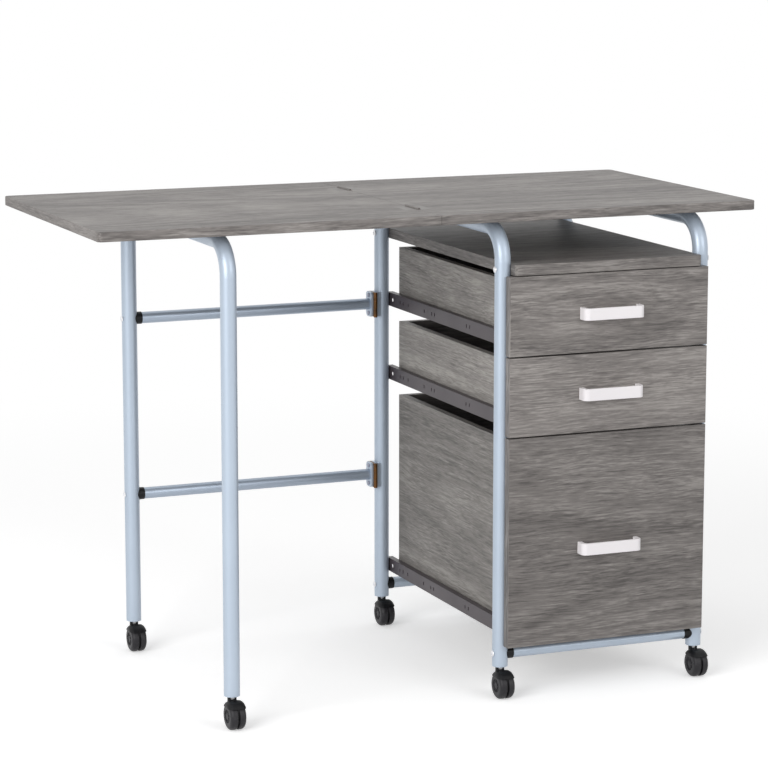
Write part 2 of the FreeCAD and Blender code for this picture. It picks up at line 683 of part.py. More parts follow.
def caster_hood(x, y):
    """A caster's hood over its wheel pair, with the web that holds the axle, and its steel stem."""
    axle = Vector(x, y - TRAIL, WHEEL_R)
    inside = wheel_room(x, y, HOOD_GAP)
    reach = 2 * WHEEL_R
    below = block(x - reach, x + reach, y - 2 * reach, y + reach, -reach, WHEEL_R + HOOD_EDGE)
    shell = wheel_room(x, y, HOOD_GAP + HOOD_SHELL).cut(inside).cut(below)
    boss = rod(AXLE_BOSS_R, axle - EAST * WEB / 2, EAST, WEB)
    rib = block(x - WEB / 2, x + WEB / 2, axle.y - AXLE_BOSS_R, y + NECK_R, WHEEL_R, 2 * WHEEL_R + HOOD_GAP)
    rib = rib.common(wheel_room(x, y, HOOD_GAP + HOOD_SHELL / 2))
    neck_top = LEG_RISE - NECK_GAP
    notch_floor = neck_top - EAR_HEIGHT
    neck = rod(NECK_R, Vector(x, y, WHEEL_R + HOOD_EDGE), UP, neck_top - WHEEL_R - HOOD_EDGE).cut(inside)
    half = EAR_SPREAD / 2
    neck = neck.cut(block(x - half, x + half, y - NECK_R, y + NECK_R, notch_floor, neck_top))
    hood = shell.fuse(boss).fuse(rib).fuse(neck)
    hood = hood.cut(rod(AXLE_R + FIT, axle - EAST * WEB, EAST, 2 * WEB))
    foot = Vector(x, y, notch_floor)
    collar = rod(COLLAR_R, foot, UP, LEG_RISE - SEAT_GAP - notch_floor)
    stem = rod(STEM_R, foot, UP, LEG_RISE + STEM_BITE - notch_floor).fuse(collar)
    return [hood.removeSplitter(), stem.removeSplitter()]


def caster_wheels(x, y):
    """A caster's two wheels and their axle."""
    axle = Vector(x, y - TRAIL, WHEEL_R)
    solids = []
    for side in (-1, 1):
        start = axle + EAST * (side * (WEB / 2 + WEB_GAP))
        wheel = rod(WHEEL_R, start, EAST * side, WHEEL_WIDTH)
        rims = [e for e in wheel.Edges if e.BoundBox.XLength < TOUCH]
        rims.sort(key=lambda e: abs(e.CenterOfMass.x - start.x))
        wheel = wheel.makeFillet(WHEEL_INNER_R, rims[:1])
        rims = [e for e in wheel.Edges if abs(e.CenterOfMass.x - start.x) > WHEEL_WIDTH - TOUCH]
        wheel = wheel.makeFillet(WHEEL_SHOULDER_R, rims)
        face = start + EAST * (side * WHEEL_WIDTH)
        dish = rod(WHEEL_DISH_R, face, EAST * -side, WHEEL_DISH)
        wheel = wheel.cut(dish.cut(rod(WHEEL_CAP_R, face, EAST * -side, WHEEL_DISH)))
        solids.append(wheel.cut(rod(AXLE_R, start, EAST * side, WHEEL_WIDTH - 2 * WHEEL_DISH)))
    length = WEB + 2 * WEB_GAP + 2 * (WHEEL_WIDTH - 2 * WHEEL_DISH)
    return solids + [rod(AXLE_R, axle - EAST * length / 2, EAST, length)]


CASTERS = {
    "left_front": (UNIT_LEFT, POST_FRONT),
    "left_rear": (UNIT_LEFT, POST_BACK),
    "right_front": (UNIT_RIGHT, POST_FRONT),
    "right_rear": (UNIT_RIGHT, POST_BACK),
    "leg_front": (LEG_X, POST_FRONT),
    "leg_rear": (LEG_X, POST_BACK),
}
DRAWERS = ("bottom", "middle", "top")


def build_top():
    """The two halves of the desk top and the hinges between them."""
    fixed_top = half_top(1)
    fixed_top = cut_all(fixed_top, [top_fixing_screw(x, y, FIT) for x in (UNIT_LEFT, UNIT_RIGHT)
                                    for y in top_screw_places()])
    save("fixed_top", fixed_top)
    save("folding_leaf", half_top(-1))
    fixed, moving, pins, fixed_screws, moving_screws = top_hinges()
    save("top_hinge_fixed_plates", *fixed)
    save("top_hinge_leaf_plates", *moving)
    save("top_hinge_pins", *pins)
    save("top_hinge_fixed_screws", *fixed_screws)
    save("top_hinge_leaf_screws", *moving_screws)


def build_unit():
    """The frames, rails, shelf, slides and fasteners of the drawer unit."""
    save("left_side_frame", side_frame(UNIT_LEFT, 1))
    save("right_side_frame", side_frame(UNIT_RIGHT, -1))
    save("unit_caster_sockets", *[caster_socket(x, y) for x, y, inward in posts()])
    save("front_bottom_rail", bottom_rail(POST_FRONT))
    save("rear_bottom_rail", bottom_rail(POST_BACK))
    save("rail_caps", *[saddle_cap(x, y, RAIL_Z, inward) for x, y, inward in posts()])
    save("post_bolts", *[post_bolt(x, y, z, inward) for x, y, inward in posts() for z in (RAIL_Z, SHELF_Z)])
    save("top_fixing_screws", *[top_fixing_screw(x, y) for x in (UNIT_LEFT, UNIT_RIGHT)
                                for y in top_screw_places()])
    save("drawer_shelf", shelf())
    heights = [slide_z(index) for index in range(len(FRONT_HEIGHTS))]
    save("left_slide_rails", *[slide_rail(UNIT_LEFT, 1, z) for z in heights])
    save("right_slide_rails", *[slide_rail(UNIT_RIGHT, -1, z) for z in heights])
    sides = ((UNIT_LEFT, 1), (UNIT_RIGHT, -1))
    save("slide_glides", *[rail_glide(x, inward, z) for x, inward in sides for z in heights])
    save("slide_screws", *[slide_screw(x, y, z, inward) for x, y, inward in posts() for z in heights])


def build_leg_frame():
    """The leg frame with its long tubes, and the hinges that carry it."""
    save("leg_frame", leg_frame())
    save("leg_caster_sockets", *[caster_socket(LEG_X, y) for y in (POST_FRONT, POST_BACK)])
    for name, z in zip(("lower", "upper"), GATE_HINGES_Z):
        save(name + "_gate_tube", gate_tube(z))
    save("gate_caps", *[saddle_cap(LEG_X, POST_BACK, z, 1) for z in GATE_HINGES_Z])
    save("gate_bolts", *[post_bolt(LEG_X, POST_BACK, z, 1) for z in GATE_HINGES_Z])
    save("gate_flanges", *[hinge_flange(z) for z in GATE_HINGES_Z])
    ends = [(z, end) for z in GATE_HINGES_Z for end in (-1, 1)]
    save("gate_hinge_screws", *[ear_screw(z, end) for z, end in ends])
    save("post_hinge_screws", *[post_hinge_screw(z, end) for z, end in ends])
    save("post_hinge_pads", *[hinge_pad(z) for z in GATE_HINGES_Z])
    post_leaves, gate_leaves, pins = gate_hinges()
    save("post_hinge_leaves", *post_leaves)
    save("gate_hinge_leaves", *gate_leaves)
    save("gate_hinge_pins", *pins)


def build_drawers():
    """The three drawers with their handles and runners."""
    for index, name in enumerate(DRAWERS):
        drawer = name + "_drawer"
        z = slide_z(index)
        save(drawer + "_front", drawer_front(index))
        save(drawer + "_box", *drawer_box(index))
        save(drawer + "_bottom", drawer_bottom(index))
        save(drawer + "_handle", *drawer_handle(index))
        runners = [part(x, inward, z) for x, inward in ((UNIT_LEFT, 1), (UNIT_RIGHT, -1))
                   for part in (runner, runner_shoe)]
        save(drawer + "_runners", *runners)


def build_casters():
    """The six casters."""
    for name, (x, y) in CASTERS.items():
        save(name + "_caster_hood", *caster_hood(x, y))
        save(name + "_caster_wheels", *caster_wheels(x, y))


os.makedirs("parts", exist_ok=True)
build_top()
build_unit()
build_leg_frame()
build_drawers()
build_casters()
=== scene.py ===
"""Looks of a folding desk: grey boards, pale blue tube frames, drawers and twin-wheel casters."""

from __future__ import annotations

import json
import logging
import math
from dataclasses import dataclass
from enum import Enum
from typing import Any, Iterable, Sequence

import bmesh
import bpy
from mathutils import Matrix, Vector

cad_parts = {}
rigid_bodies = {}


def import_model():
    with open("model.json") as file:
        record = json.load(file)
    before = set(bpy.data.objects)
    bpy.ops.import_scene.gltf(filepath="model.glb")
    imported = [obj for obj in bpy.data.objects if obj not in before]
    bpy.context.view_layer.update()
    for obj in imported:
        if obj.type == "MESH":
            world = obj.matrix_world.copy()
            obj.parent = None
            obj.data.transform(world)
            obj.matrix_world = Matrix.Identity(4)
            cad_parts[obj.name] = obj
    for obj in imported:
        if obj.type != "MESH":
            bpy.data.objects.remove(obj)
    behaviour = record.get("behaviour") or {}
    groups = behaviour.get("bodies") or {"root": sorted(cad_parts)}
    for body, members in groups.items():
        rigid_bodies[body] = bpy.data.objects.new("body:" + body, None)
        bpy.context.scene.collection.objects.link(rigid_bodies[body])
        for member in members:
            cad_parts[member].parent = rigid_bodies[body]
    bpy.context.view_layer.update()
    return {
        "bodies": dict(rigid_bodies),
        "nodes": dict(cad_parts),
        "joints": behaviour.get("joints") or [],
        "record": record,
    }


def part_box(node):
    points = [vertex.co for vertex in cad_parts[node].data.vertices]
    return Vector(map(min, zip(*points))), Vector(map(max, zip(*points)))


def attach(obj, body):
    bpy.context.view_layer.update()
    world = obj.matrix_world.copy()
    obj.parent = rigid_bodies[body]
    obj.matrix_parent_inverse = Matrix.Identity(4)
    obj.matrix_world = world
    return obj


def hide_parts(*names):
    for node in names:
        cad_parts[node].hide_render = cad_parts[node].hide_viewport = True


LOG = logging.getLogger("folding_desk")
MM = 0.001
WHITE = (1.0, 1.0, 1.0, 1.0)

AIM = "aim"               # the attribute that says which way a point faces
CREASE = 0.6              # edges stay sharp from this angle between their faces, in radians
MERGE = 0.001 * MM        # points nearer than this are one
MIX_COLOUR = (6, 7, 2)    # the mix node's sockets for two colours and for their result
MIX_VECTOR = (4, 5, 1)    # the same for vectors
ALONG_DEPTH = (1, 0, 2)   # an order of the axes that changes X and Y over, to turn grain
ALONG_HEIGHT = (2, 1, 0)  # the same for X and Z
STRIP_THICK = 0.8 * MM    # the strip glued on a board's edge
FAR = 10.0                # well outside every board

Colour = tuple[float, float, float]
Corner = tuple[float, float, float]
Place = tuple[Vector, Vector]
Socket = bpy.types.NodeSocket


def tint(red: int, green: int, blue: int) -> Colour:
    """A colour written in 0 to 255 screen values, as linear light.

    Args:
        red: screen value of red.
        green: screen value of green.
        blue: screen value of blue.

    Returns:
        The same colour in linear values.
    """
    screen = [value / 255.0 for value in (red, green, blue)]
    linear = [v / 12.92 if v <= 0.04045 else ((v + 0.055) / 1.055) ** 2.4 for v in screen]
    return linear[0], linear[1], linear[2]


class Along(Enum):
    """The way that a board's grain, or a metal's brushing, runs."""

    X = (0.0, 0.0, 0.0)
    Y = (0.0, 0.0, -math.pi / 2)
    Z = (0.0, math.pi / 2, 0.0)


class Skin(Enum):
    """The kinds of surface, by the names of their node groups."""

    GRAIN = "board_grain"
    COAT = "baked_coat"
    MOULD = "moulded_skin"
    METAL = "brushed_metal"


class Graph:
    """A node tree while it is wired up."""

    def __init__(self, tree: bpy.types.NodeTree) -> None:
        """Take hold of a tree and clear it."""
        self.tree = tree
        tree.nodes.clear()

    def add(self, kind: str, inputs: dict[Any, Any] | None = None,
            **settings: Any) -> bpy.types.Node:
        """Add a node.

        Args:
            kind: the node's type name.
            inputs: for a socket's name or number, a value to set or a socket to link from.
            settings: the node's own properties.

        Returns:
            The new node.
        """
        node = self.tree.nodes.new(kind)
        for name, value in settings.items():
            setattr(node, name, value)
        for key, value in (inputs or {}).items():
            if isinstance(value, Socket):
                self.tree.links.new(value, node.inputs[key])
            else:
                node.inputs[key].default_value = value
        return node

    def math(self, operation: str, *values: Any) -> Socket:
        """Add a math node and return its result."""
        return self.add("ShaderNodeMath", dict(enumerate(values)), operation=operation).outputs[0]

    def raised(self, base: float | Socket, value: Socket, amount: float) -> Socket:
        """A base that is raised by an amount of another value."""
        return self.math("ADD", base, self.math("MULTIPLY", value, amount))

    def vector(self, operation: str, *values: Any) -> Socket:
        """Add a vector math node and return its vector."""
        node = self.add("ShaderNodeVectorMath", dict(enumerate(values)), operation=operation)
        return node.outputs[0]

    def drawn(self, place: Socket, along: float, across: float) -> Socket:
        """A place scaled so that a pattern on it is drawn out along X."""
        return self.vector("MULTIPLY", place, (along, across, across))

    def noise(self, place: Socket, scale: float, detail: float = 2.0,
              rough: float = 0.5) -> Socket:
        """Add a noise texture and return its value."""
        inputs = {"Vector": place, "Scale": scale, "Detail": detail, "Roughness": rough}
        return self.add("ShaderNodeTexNoise", inputs).outputs[0]

    def spread(self, value: Socket, low: float, high: float, to_low: float = 0.0,
               to_high: float = 1.0) -> Socket:
        """Map a value smoothly from one range to another and return it."""
        inputs = {"Value": value, "From Min": low, "From Max": high,
                  "To Min": to_low, "To Max": to_high}
        return self.add("ShaderNodeMapRange", inputs, interpolation_type="SMOOTHSTEP").outputs[0]

    def mix(self, factor: Any, first: Any, second: Any, blend: str = "MIX") -> Socket:
        """Mix two colours.

        Args:
            factor: how much of the second colour is laid on.
            first: the colour below.
            second: the colour on top.
            blend: the way they are mixed.

        Returns:
            The mixed colour.
        """
        below, above, result = MIX_COLOUR
        node = self.add("ShaderNodeMix", {0: factor, below: first, above: second},
                        data_type="RGBA", blend_type=blend)
        return node.outputs[result]

    def within(self, place: Socket, low: Sequence[float], high: Sequence[float]) -> Socket:
        """A mask of one inside a box and zero outside it.

        Args:
            place: the place to test.
            low: the box's lowest corner.
            high: the box's highest corner.

        Returns:
            The mask.
        """
        away = self.vector("SUBTRACT", place, [(a + b) / 2 for a, b in zip(low, high)])
        axes = self.add("ShaderNodeSeparateXYZ", {0: self.vector("ABSOLUTE", away)}).outputs
        near = [self.math("LESS_THAN", axis, (b - a) / 2) for axis, a, b in zip(axes, low, high)]
        return self.math("MULTIPLY", self.math("MULTIPLY", near[0], near[1]), near[2])


def new_group(name: str, kind: str,
              sockets: Iterable[tuple[str, str, str]]) -> tuple[Graph, Any, Any]:
    """Start a node group.

    Args:
        name: the group's name.
        kind: the type of node tree.
        sockets: name, INPUT or OUTPUT, and socket type of each socket.

    Returns:
        The group's graph, its input node and its output node.
    """
    tree = bpy.data.node_groups.new(name, kind)
    graph = Graph(tree)
    for label, way, socket_type in sockets:
        tree.interface.new_socket(label, in_out=way, socket_type=socket_type)
    return graph, graph.add("NodeGroupInput"), graph.add("NodeGroupOutput")


@dataclass(frozen=True)
class Bend:
    """A slow noise that pushes places sideways, so that straight lines on them wander."""

    along: float
    across: float
    amount: float

    def push(self, g: Graph, place: Socket) -> Socket:
        """Push a place.

        Args:
            g: the graph to work in.
            place: the place to push.

        Returns:
            The pushed place.
        """
        drift = g.add("ShaderNodeTexNoise", {"Vector": g.drawn(place, self.along, self.across),
                                             "Scale": 1.0, "Detail": 1.0})
        sway = g.vector("SUBTRACT", drift.outputs["Color"], (0.5, 0.5, 0.5))
        return g.vector("ADD", place, g.vector("MULTIPLY", sway, (0.0, self.amount, self.amount)))


@dataclass(frozen=True)
class Layer:
    """A drawn-out noise, by its scales along and across it, its fineness and its weight."""

    along: float
    across: float
    detail: float
    rough: float = 0.5
    weight: float = 1.0

    def draw(self, g: Graph, place: Socket) -> Socket:
        """The noise's value at a place."""
        return g.noise(g.drawn(place, self.along, self.across), 1.0, self.detail, self.rough)

    def swing(self, g: Graph, value: Socket) -> Socket:
        """A value of the noise as a weighted swing about zero."""
        return g.math("MULTIPLY", g.math("SUBTRACT", value, 0.5), self.weight)


SKIN_OUTPUTS = (
    ("Color", "NodeSocketColor"),
    ("Roughness", "NodeSocketFloat"),
    ("Height", "NodeSocketFloat"),
)


class Skins:
    """The shared surface effects, each a node group that is built once.

    Scales are per metre. A range says where an effect begins and where it is full.
    """

    BENDS = (Bend(1.3, 4.0, 0.03), Bend(8.0, 14.0, 0.009))
    BROAD = Layer(1.6, 11.0, detail=2.0, weight=0.9)
    FIBRE = Layer(9.0, 260.0, detail=3.0, rough=0.6, weight=0.95)
    STROKE = Layer(38.0, 460.0, detail=3.0, rough=0.6, weight=1.3)
    ARCH = Layer(1.1, 7.0, detail=0.0, weight=0.09)
    PORE = Layer(48.0, 820.0, detail=1.0, weight=0.35)
    ARCH_LINES, ARCH_RAGGED = 70.0, 4.0
    MIDDLE_RANGE, LIGHT_RANGE, PORE_RANGE = (0.05, 0.55), (0.45, 0.95), (0.6, 0.72)
    BOARD_ROUGH, PORE_ROUGH, STROKE_RISE = 0.5, 0.15, 0.6

    RIPPLE, CLOUD, SPECK = 620.0, 9.0, 1500.0
    CLOUD_RANGE, SPECK_RANGE = (0.3, 0.75), (0.74, 0.8)
    CLOUD_SHADE, SPECK_SHADE = 0.55, 0.35
    COAT_ROUGH, CLOUD_ROUGH = 0.3, 0.16

    PEBBLE, RUB = 1700.0, 130.0
    RUB_RANGE, RUB_SHADE = (0.52, 0.72), 0.6
    MOULD_ROUGH, RUB_ROUGH = 0.4, 0.2

    BRUSH, STAIN = Layer(60.0, 2600.0, detail=2.0), 160.0
    STAIN_RANGE, STAIN_SHADE = (0.42, 0.7), 0.7
    METAL_ROUGH, BRUSH_ROUGH, STAIN_ROUGH = 0.24, 0.14, 0.16

    def __init__(self) -> None:
        """Build every group."""
        self.groups = {Skin.GRAIN: self._grain(), Skin.COAT: self._coat(),
                       Skin.MOULD: self._mould(), Skin.METAL: self._metal()}

    @staticmethod
    def _open(skin: Skin, *colours: str) -> tuple[Graph, Any, Any]:
        """Start a skin that reads a place and some colours.

        Args:
            skin: the kind of surface.
            colours: the names of its colours.

        Returns:
            The group's graph, the sockets that it reads and its output node.
        """
        sockets = [("Vector", "INPUT", "NodeSocketVector")]
        sockets.extend((name, "INPUT", "NodeSocketColor") for name in colours)
        sockets.extend((name, "OUTPUT", kind) for name, kind in SKIN_OUTPUTS)
        g, start, end = new_group(skin.value, "ShaderNodeTree", sockets)
        return g, start.outputs, end

    @staticmethod
    def _close(g: Graph, end: bpy.types.Node, *results: Socket) -> bpy.types.NodeTree:
        """Link a skin's results to its output.

        Args:
            g: the skin's graph.
            end: its output node.
            results: its colour, roughness and height.

        Returns:
            The finished node group.
        """
        for (name, _), socket in zip(SKIN_OUTPUTS, results):
            g.tree.links.new(socket, end.inputs[name])
        return g.tree

    def _grain(self) -> bpy.types.NodeTree:
        """Wood grain along X: broad tones, arched figure, straight fibres and short dark pores.

        Returns:
            The node group.
        """
        g, given, end = self._open(Skin.GRAIN, "Dark", "Middle", "Light")
        bent = given["Vector"]
        for bend in self.BENDS:
            bent = bend.push(g, bent)
        broad, fibre, stroke, arch = (
            layer.draw(g, bent) for layer in (self.BROAD, self.FIBRE, self.STROKE, self.ARCH))
        figure = g.math("SINE", g.math("ADD", g.math("MULTIPLY", arch, self.ARCH_LINES),
                                       g.math("MULTIPLY", stroke, self.ARCH_RAGGED)))
        tone: Any = 0.5
        for layer, value in ((self.FIBRE, fibre), (self.STROKE, stroke), (self.BROAD, broad)):
            tone = g.math("ADD", tone, layer.swing(g, value))
        tone = g.raised(tone, figure, self.ARCH.weight)
        colour = g.mix(g.spread(tone, *self.MIDDLE_RANGE), given["Dark"], given["Middle"])
        colour = g.mix(g.spread(tone, *self.LIGHT_RANGE), colour, given["Light"])
        pores = g.spread(self.PORE.draw(g, bent), *self.PORE_RANGE)
        colour = g.mix(g.math("MULTIPLY", pores, self.PORE.weight), colour, given["Dark"])
        rough = g.raised(self.BOARD_ROUGH, pores, self.PORE_ROUGH)
        height = g.math("SUBTRACT", g.math("MULTIPLY", stroke, self.STROKE_RISE), pores)
        return self._close(g, end, colour, rough, height)

    def _coat(self) -> bpy.types.NodeTree:
        """Sprayed and baked coat: a fine ripple, faint clouding and a few dust specks.

        Returns:
            The node group.
        """
        g, given, end = self._open(Skin.COAT, "Base", "Shade")
        place = given["Vector"]
        ripple = g.noise(place, self.RIPPLE)
        cloud = g.noise(place, self.CLOUD, detail=3.0)
        specks = g.spread(g.noise(place, self.SPECK, detail=1.0), *self.SPECK_RANGE)
        clouded = g.spread(cloud, *self.CLOUD_RANGE, to_high=self.CLOUD_SHADE)
        colour = g.mix(clouded, given["Base"], given["Shade"])
        colour = g.mix(g.math("MULTIPLY", specks, self.SPECK_SHADE), colour, given["Shade"])
        rough = g.raised(self.COAT_ROUGH, cloud, self.CLOUD_ROUGH)
        return self._close(g, end, colour, rough, g.math("SUBTRACT", ripple, specks))

    def _mould(self) -> bpy.types.NodeTree:
        """Moulded plastic: a pebbled skin, with paler rubbed patches.

        Returns:
            The node group.
        """
        g, given, end = self._open(Skin.MOULD, "Base", "Rubbed")
        place = given["Vector"]
        pebble = g.add("ShaderNodeTexVoronoi", {"Vector": place, "Scale": self.PEBBLE})
        rub = g.spread(g.noise(place, self.RUB, detail=5.0, rough=0.7), *self.RUB_RANGE)
        colour = g.mix(g.math("MULTIPLY", rub, self.RUB_SHADE), given["Base"], given["Rubbed"])
        rough = g.raised(self.MOULD_ROUGH, rub, self.RUB_ROUGH)
        return self._close(g, end, colour, rough, pebble.outputs["Distance"])

    def _metal(self) -> bpy.types.NodeTree:
        """Bare metal: brush lines along X and stained patches.

        Returns:
            The node group.
        """
        g, given, end = self._open(Skin.METAL, "Base", "Stain")
        place = given["Vector"]
        lines = self.BRUSH.draw(g, place)
        stain = g.spread(g.noise(place, self.STAIN, detail=4.0, rough=0.65), *self.STAIN_RANGE)
        colour = g.mix(g.math("MULTIPLY", stain, self.STAIN_SHADE), given["Base"], given["Stain"])
        rough = g.raised(self.METAL_ROUGH, lines, self.BRUSH_ROUGH)
        return self._close(g, end, colour, g.raised(rough, stain, self.STAIN_ROUGH), lines)


@dataclass(frozen=True)
class CrossGrain:
    """A stretch of boards with the grain turned another way: inside a box, or outside it."""

    low: Corner
    high: Corner
    axes: tuple[int, int, int]
    outside: bool = False

    def lay(self, g: Graph, place: Socket) -> Socket:
        """Turn the grain in this stretch.

        Args:
            g: the graph to work in.
            place: the place on the board.

        Returns:
            The place to read the grain at.
        """
        axes = g.add("ShaderNodeSeparateXYZ", {0: place}).outputs
        order = {i: axes[axis] for i, axis in enumerate(self.axes)}
        turned = g.add("ShaderNodeCombineXYZ", order).outputs[0]
        first, second = (turned, place) if self.outside else (place, turned)
        below, above, result = MIX_VECTOR
        inputs = {0: g.within(place, self.low, self.high), below: first, above: second}
        return g.add("ShaderNodeMix", inputs, data_type="VECTOR").outputs[result]


def edge_strips(low_x: float, high_x: float, axes: tuple[int, int, int]) -> CrossGrain:
    """The strips glued on a board's two ends along X, with the grain along the edge.

    Args:
        low_x: where the board begins.
        high_x: where the board ends.
        axes: the order of axes that turns the grain along the edge.

    Returns:
        The stretch outside the board's own face.
    """
    return CrossGrain((low_x + STRIP_THICK, -FAR, -FAR), (high_x - STRIP_THICK, FAR, FAR), axes,
                      outside=True)


@dataclass(frozen=True)
class PaintedInsideShade:
    """Painted shade on the inside faces of a drawer box, which makes them darker than the outside
    of the same boards.
    """

    low: Corner
    high: Corner
    # the factor of the painted shade on the inside faces
    shade: Colour = (0.45, 0.44, 0.45)

    def darken(self, g: Graph, place: Socket, colour: Socket) -> Socket:
        """The colour, with painted shade on the inside faces of the box."""
        darker = g.mix(1.0, colour, (*self.shade, 1.0), "MULTIPLY")
        return g.mix(g.within(place, self.low, self.high), colour, darker)


@dataclass(frozen=True)
class Finish:
    """A surface finish: a skin with its colours, and how strong and deep its relief is."""

    name: str
    skin: Skin
    colours: dict[str, Colour]
    relief: float
    depth: float
    along: Along = Along.X
    offset: tuple[float, float, float] = (0.0, 0.0, 0.0)
    metallic: float = 0.0
    specular: float = 0.5
    coat: float = 0.0
    coat_rough: float = 0.3
    across: CrossGrain | None = None
    inside_shade: PaintedInsideShade | None = None

    def make(self, skins: Skins) -> bpy.types.Material:
        """Build the finish as a material.

        Args:
            skins: the shared node groups.

        Returns:
            The new material.
        """
        material = bpy.data.materials.new(self.name)
        material.use_nodes = True
        g = Graph(material.node_tree)
        place = g.add("ShaderNodeTexCoord").outputs["Object"]
        laid = self.across.lay(g, place) if self.across else place
        turned = g.add("ShaderNodeMapping", {
            "Vector": laid, "Location": self.offset, "Rotation": self.along.value})
        skin = g.add("ShaderNodeGroup", node_tree=skins.groups[self.skin])
        g.tree.links.new(turned.outputs[0], skin.inputs["Vector"])
        for name, shade in self.colours.items():
            skin.inputs[name].default_value = (*shade, 1.0)
        colour = skin.outputs["Color"]
        # painted shade on the inside faces of a drawer box
        if self.inside_shade:
            colour = self.inside_shade.darken(g, place, colour)
        bump = g.add("ShaderNodeBump", {
            "Height": skin.outputs["Height"], "Strength": self.relief, "Distance": self.depth})
        shader = g.add("ShaderNodeBsdfPrincipled", {
            "Base Color": colour, "Roughness": skin.outputs["Roughness"],
            "Normal": bump.outputs[0], "Metallic": self.metallic,
            "Specular IOR Level": self.specular, "Coat Weight": self.coat,
            "Coat Roughness": self.coat_rough})
        g.add("ShaderNodeOutputMaterial", {"Surface": shader.outputs[0]})
        return material


class Board(Enum):
    """The two kinds of board, by the colours of their grain."""

    SHOWN = {"Dark": tint(90, 86, 84), "Middle": tint(127, 122, 119), "Light": tint(162, 157, 153)}
    INNER = {"Dark": tint(96, 93, 90), "Middle": tint(129, 125, 121), "Light": tint(160, 156, 151)}


def board_finish(name: str, along: Along, offset: tuple[float, float, float], tone: float = 1.0,
                 board: Board = Board.SHOWN, across: CrossGrain | None = None,
                 inside_shade: PaintedInsideShade | None = None) -> Finish:
    """The wood-grain finish of one board.

    Args:
        name: the finish's name.
        along: the way its grain runs.
        offset: where in the pattern the board is cut from.
        tone: a factor on the grain's colours, which makes a board darker or lighter than the
            others; on a drawer's box it is painted light.
        board: the kind of board.
        across: where its grain runs the other way.
        inside_shade: painted shade on the inside of the box that it is part of.

    Returns:
        The finish.
    """
    colours = {key: (red * tone, green * tone, blue * tone)
               for key, (red, green, blue) in board.value.items()}
    return Finish(name, Skin.GRAIN, colours, relief=0.25, depth=0.4 * MM, along=along,
                  offset=offset, specular=0.4, across=across, inside_shade=inside_shade)


TUBE_COAT = Finish(
    "pale_blue_coat", Skin.COAT, {"Base": tint(186, 199, 214), "Shade": tint(177, 190, 205)},
    relief=0.12, depth=0.3 * MM, metallic=0.28, coat=0.15)
# The gate tubes' coat: its base, darker than the other tubes', is painted shade for their place
# under the top; its higher metallic is a silver finish.
GATE_COAT_WITH_PAINTED_SHADE = Finish(
    "silver_blue_coat_painted_shade", Skin.COAT, {"Base": tint(172, 184, 199), "Shade": tint(161, 173, 188)},
    relief=0.12, depth=0.3 * MM, metallic=0.55, coat=0.15)
HANDLE_COAT = Finish(
    "white_satin_coat", Skin.COAT, {"Base": tint(246, 242, 244), "Shade": tint(238, 234, 236)},
    relief=0.08, depth=0.2 * MM)
SLIDE_COAT = Finish(
    "charcoal_coat", Skin.COAT, {"Base": tint(76, 69, 73), "Shade": tint(64, 58, 62)},
    relief=0.15, depth=0.3 * MM, specular=0.35)
RUNNER_COAT = Finish(
    "black_coat", Skin.COAT, {"Base": tint(26, 24, 26), "Shade": tint(20, 19, 20)},
    relief=0.15, depth=0.3 * MM, specular=0.2)
HINGE_COAT = Finish(
    "board_grey_coat", Skin.COAT, {"Base": tint(124, 119, 116), "Shade": tint(110, 106, 103)},
    relief=0.12, depth=0.2 * MM, specular=0.2)
BLACK_PLASTIC = Finish(
    "black_moulding", Skin.MOULD, {"Base": tint(20, 20, 22), "Rubbed": tint(34, 34, 36)},
    relief=0.3, depth=0.2 * MM, specular=0.22)
WHEEL_PLASTIC = Finish(
    "wheel_moulding", Skin.MOULD, {"Base": tint(42, 41, 44), "Rubbed": tint(60, 59, 62)},
    relief=0.35, depth=0.2 * MM, specular=0.25)
NYLON = Finish(
    "dark_nylon", Skin.MOULD, {"Base": tint(52, 51, 53), "Rubbed": tint(74, 73, 75)},
    relief=0.2, depth=0.2 * MM)
ZINC = Finish(
    "bright_zinc", Skin.METAL, {"Base": tint(244, 244, 246), "Stain": tint(214, 216, 220)},
    relief=0.1, depth=0.2 * MM, along=Along.Z, metallic=0.5)
STEEL = Finish(
    "dull_steel", Skin.METAL, {"Base": tint(165, 167, 182), "Stain": tint(130, 132, 146)},
    relief=0.1, depth=0.2 * MM, along=Along.Z, metallic=0.4)
BRASS = Finish(
    "browned_brass", Skin.METAL, {"Base": tint(108, 72, 36), "Stain": tint(52, 39, 20)},
    relief=0.2, depth=0.2 * MM, along=Along.Z, metallic=0.7)
HARDBOARD = Finish(
    "thin_board", Skin.GRAIN,
    {"Dark": tint(74, 71, 69), "Middle": tint(98, 95, 92), "Light": tint(118, 114, 111)},
    relief=0.2, depth=0.3 * MM, along=Along.Y)


class Workshop:
    """Holds the frame and the finishes, and gives pieces their looks."""

    def __init__(self, frame: dict[str, Any]) -> None:
        """Take the loaded frame.
        """
        self.nodes: dict[str, bpy.types.Object] = frame["nodes"]
        self.skins = Skins()
        self._made: dict[str, bpy.types.Material] = {}

    def material(self, finish: Finish) -> bpy.types.Material:
        """The material of a finish, which is built the first time.

        Args:
            finish: the finish.

        Returns:
            Its material.
        """
        if finish.name not in self._made:
            self._made[finish.name] = finish.make(self.skins)
        return self._made[finish.name]

    def dress(self, finish: Finish, *names: str) -> None:
        """Give frame nodes a finish.

        Args:
            finish: the finish to give.
            names: the nodes' names.
        """
        for name in names:
            mesh = self.nodes[name].data
            mesh.materials.clear()
            mesh.materials.append(self.material(finish))
            LOG.info("dressed %s in %s", name, finish.name)

    def keep(self, piece: bpy.types.Object, body: str, slot: str, *nodes: str) -> None:
        """Tie a new piece to its body, and hide the nodes that it stands for.

        Args:
            piece: the new piece.
            body: the body that it rides on.
            slot: the record's material slot, which is not used.
            nodes: the frame nodes that it replaces.
        """
        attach(piece, body)
        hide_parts(*nodes)
        LOG.info("made %s on %s", piece.name, body)


def middle(node: str) -> Vector:
    """The middle of a frame node's box."""
    low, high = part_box(node)
    return (low + high) / 2


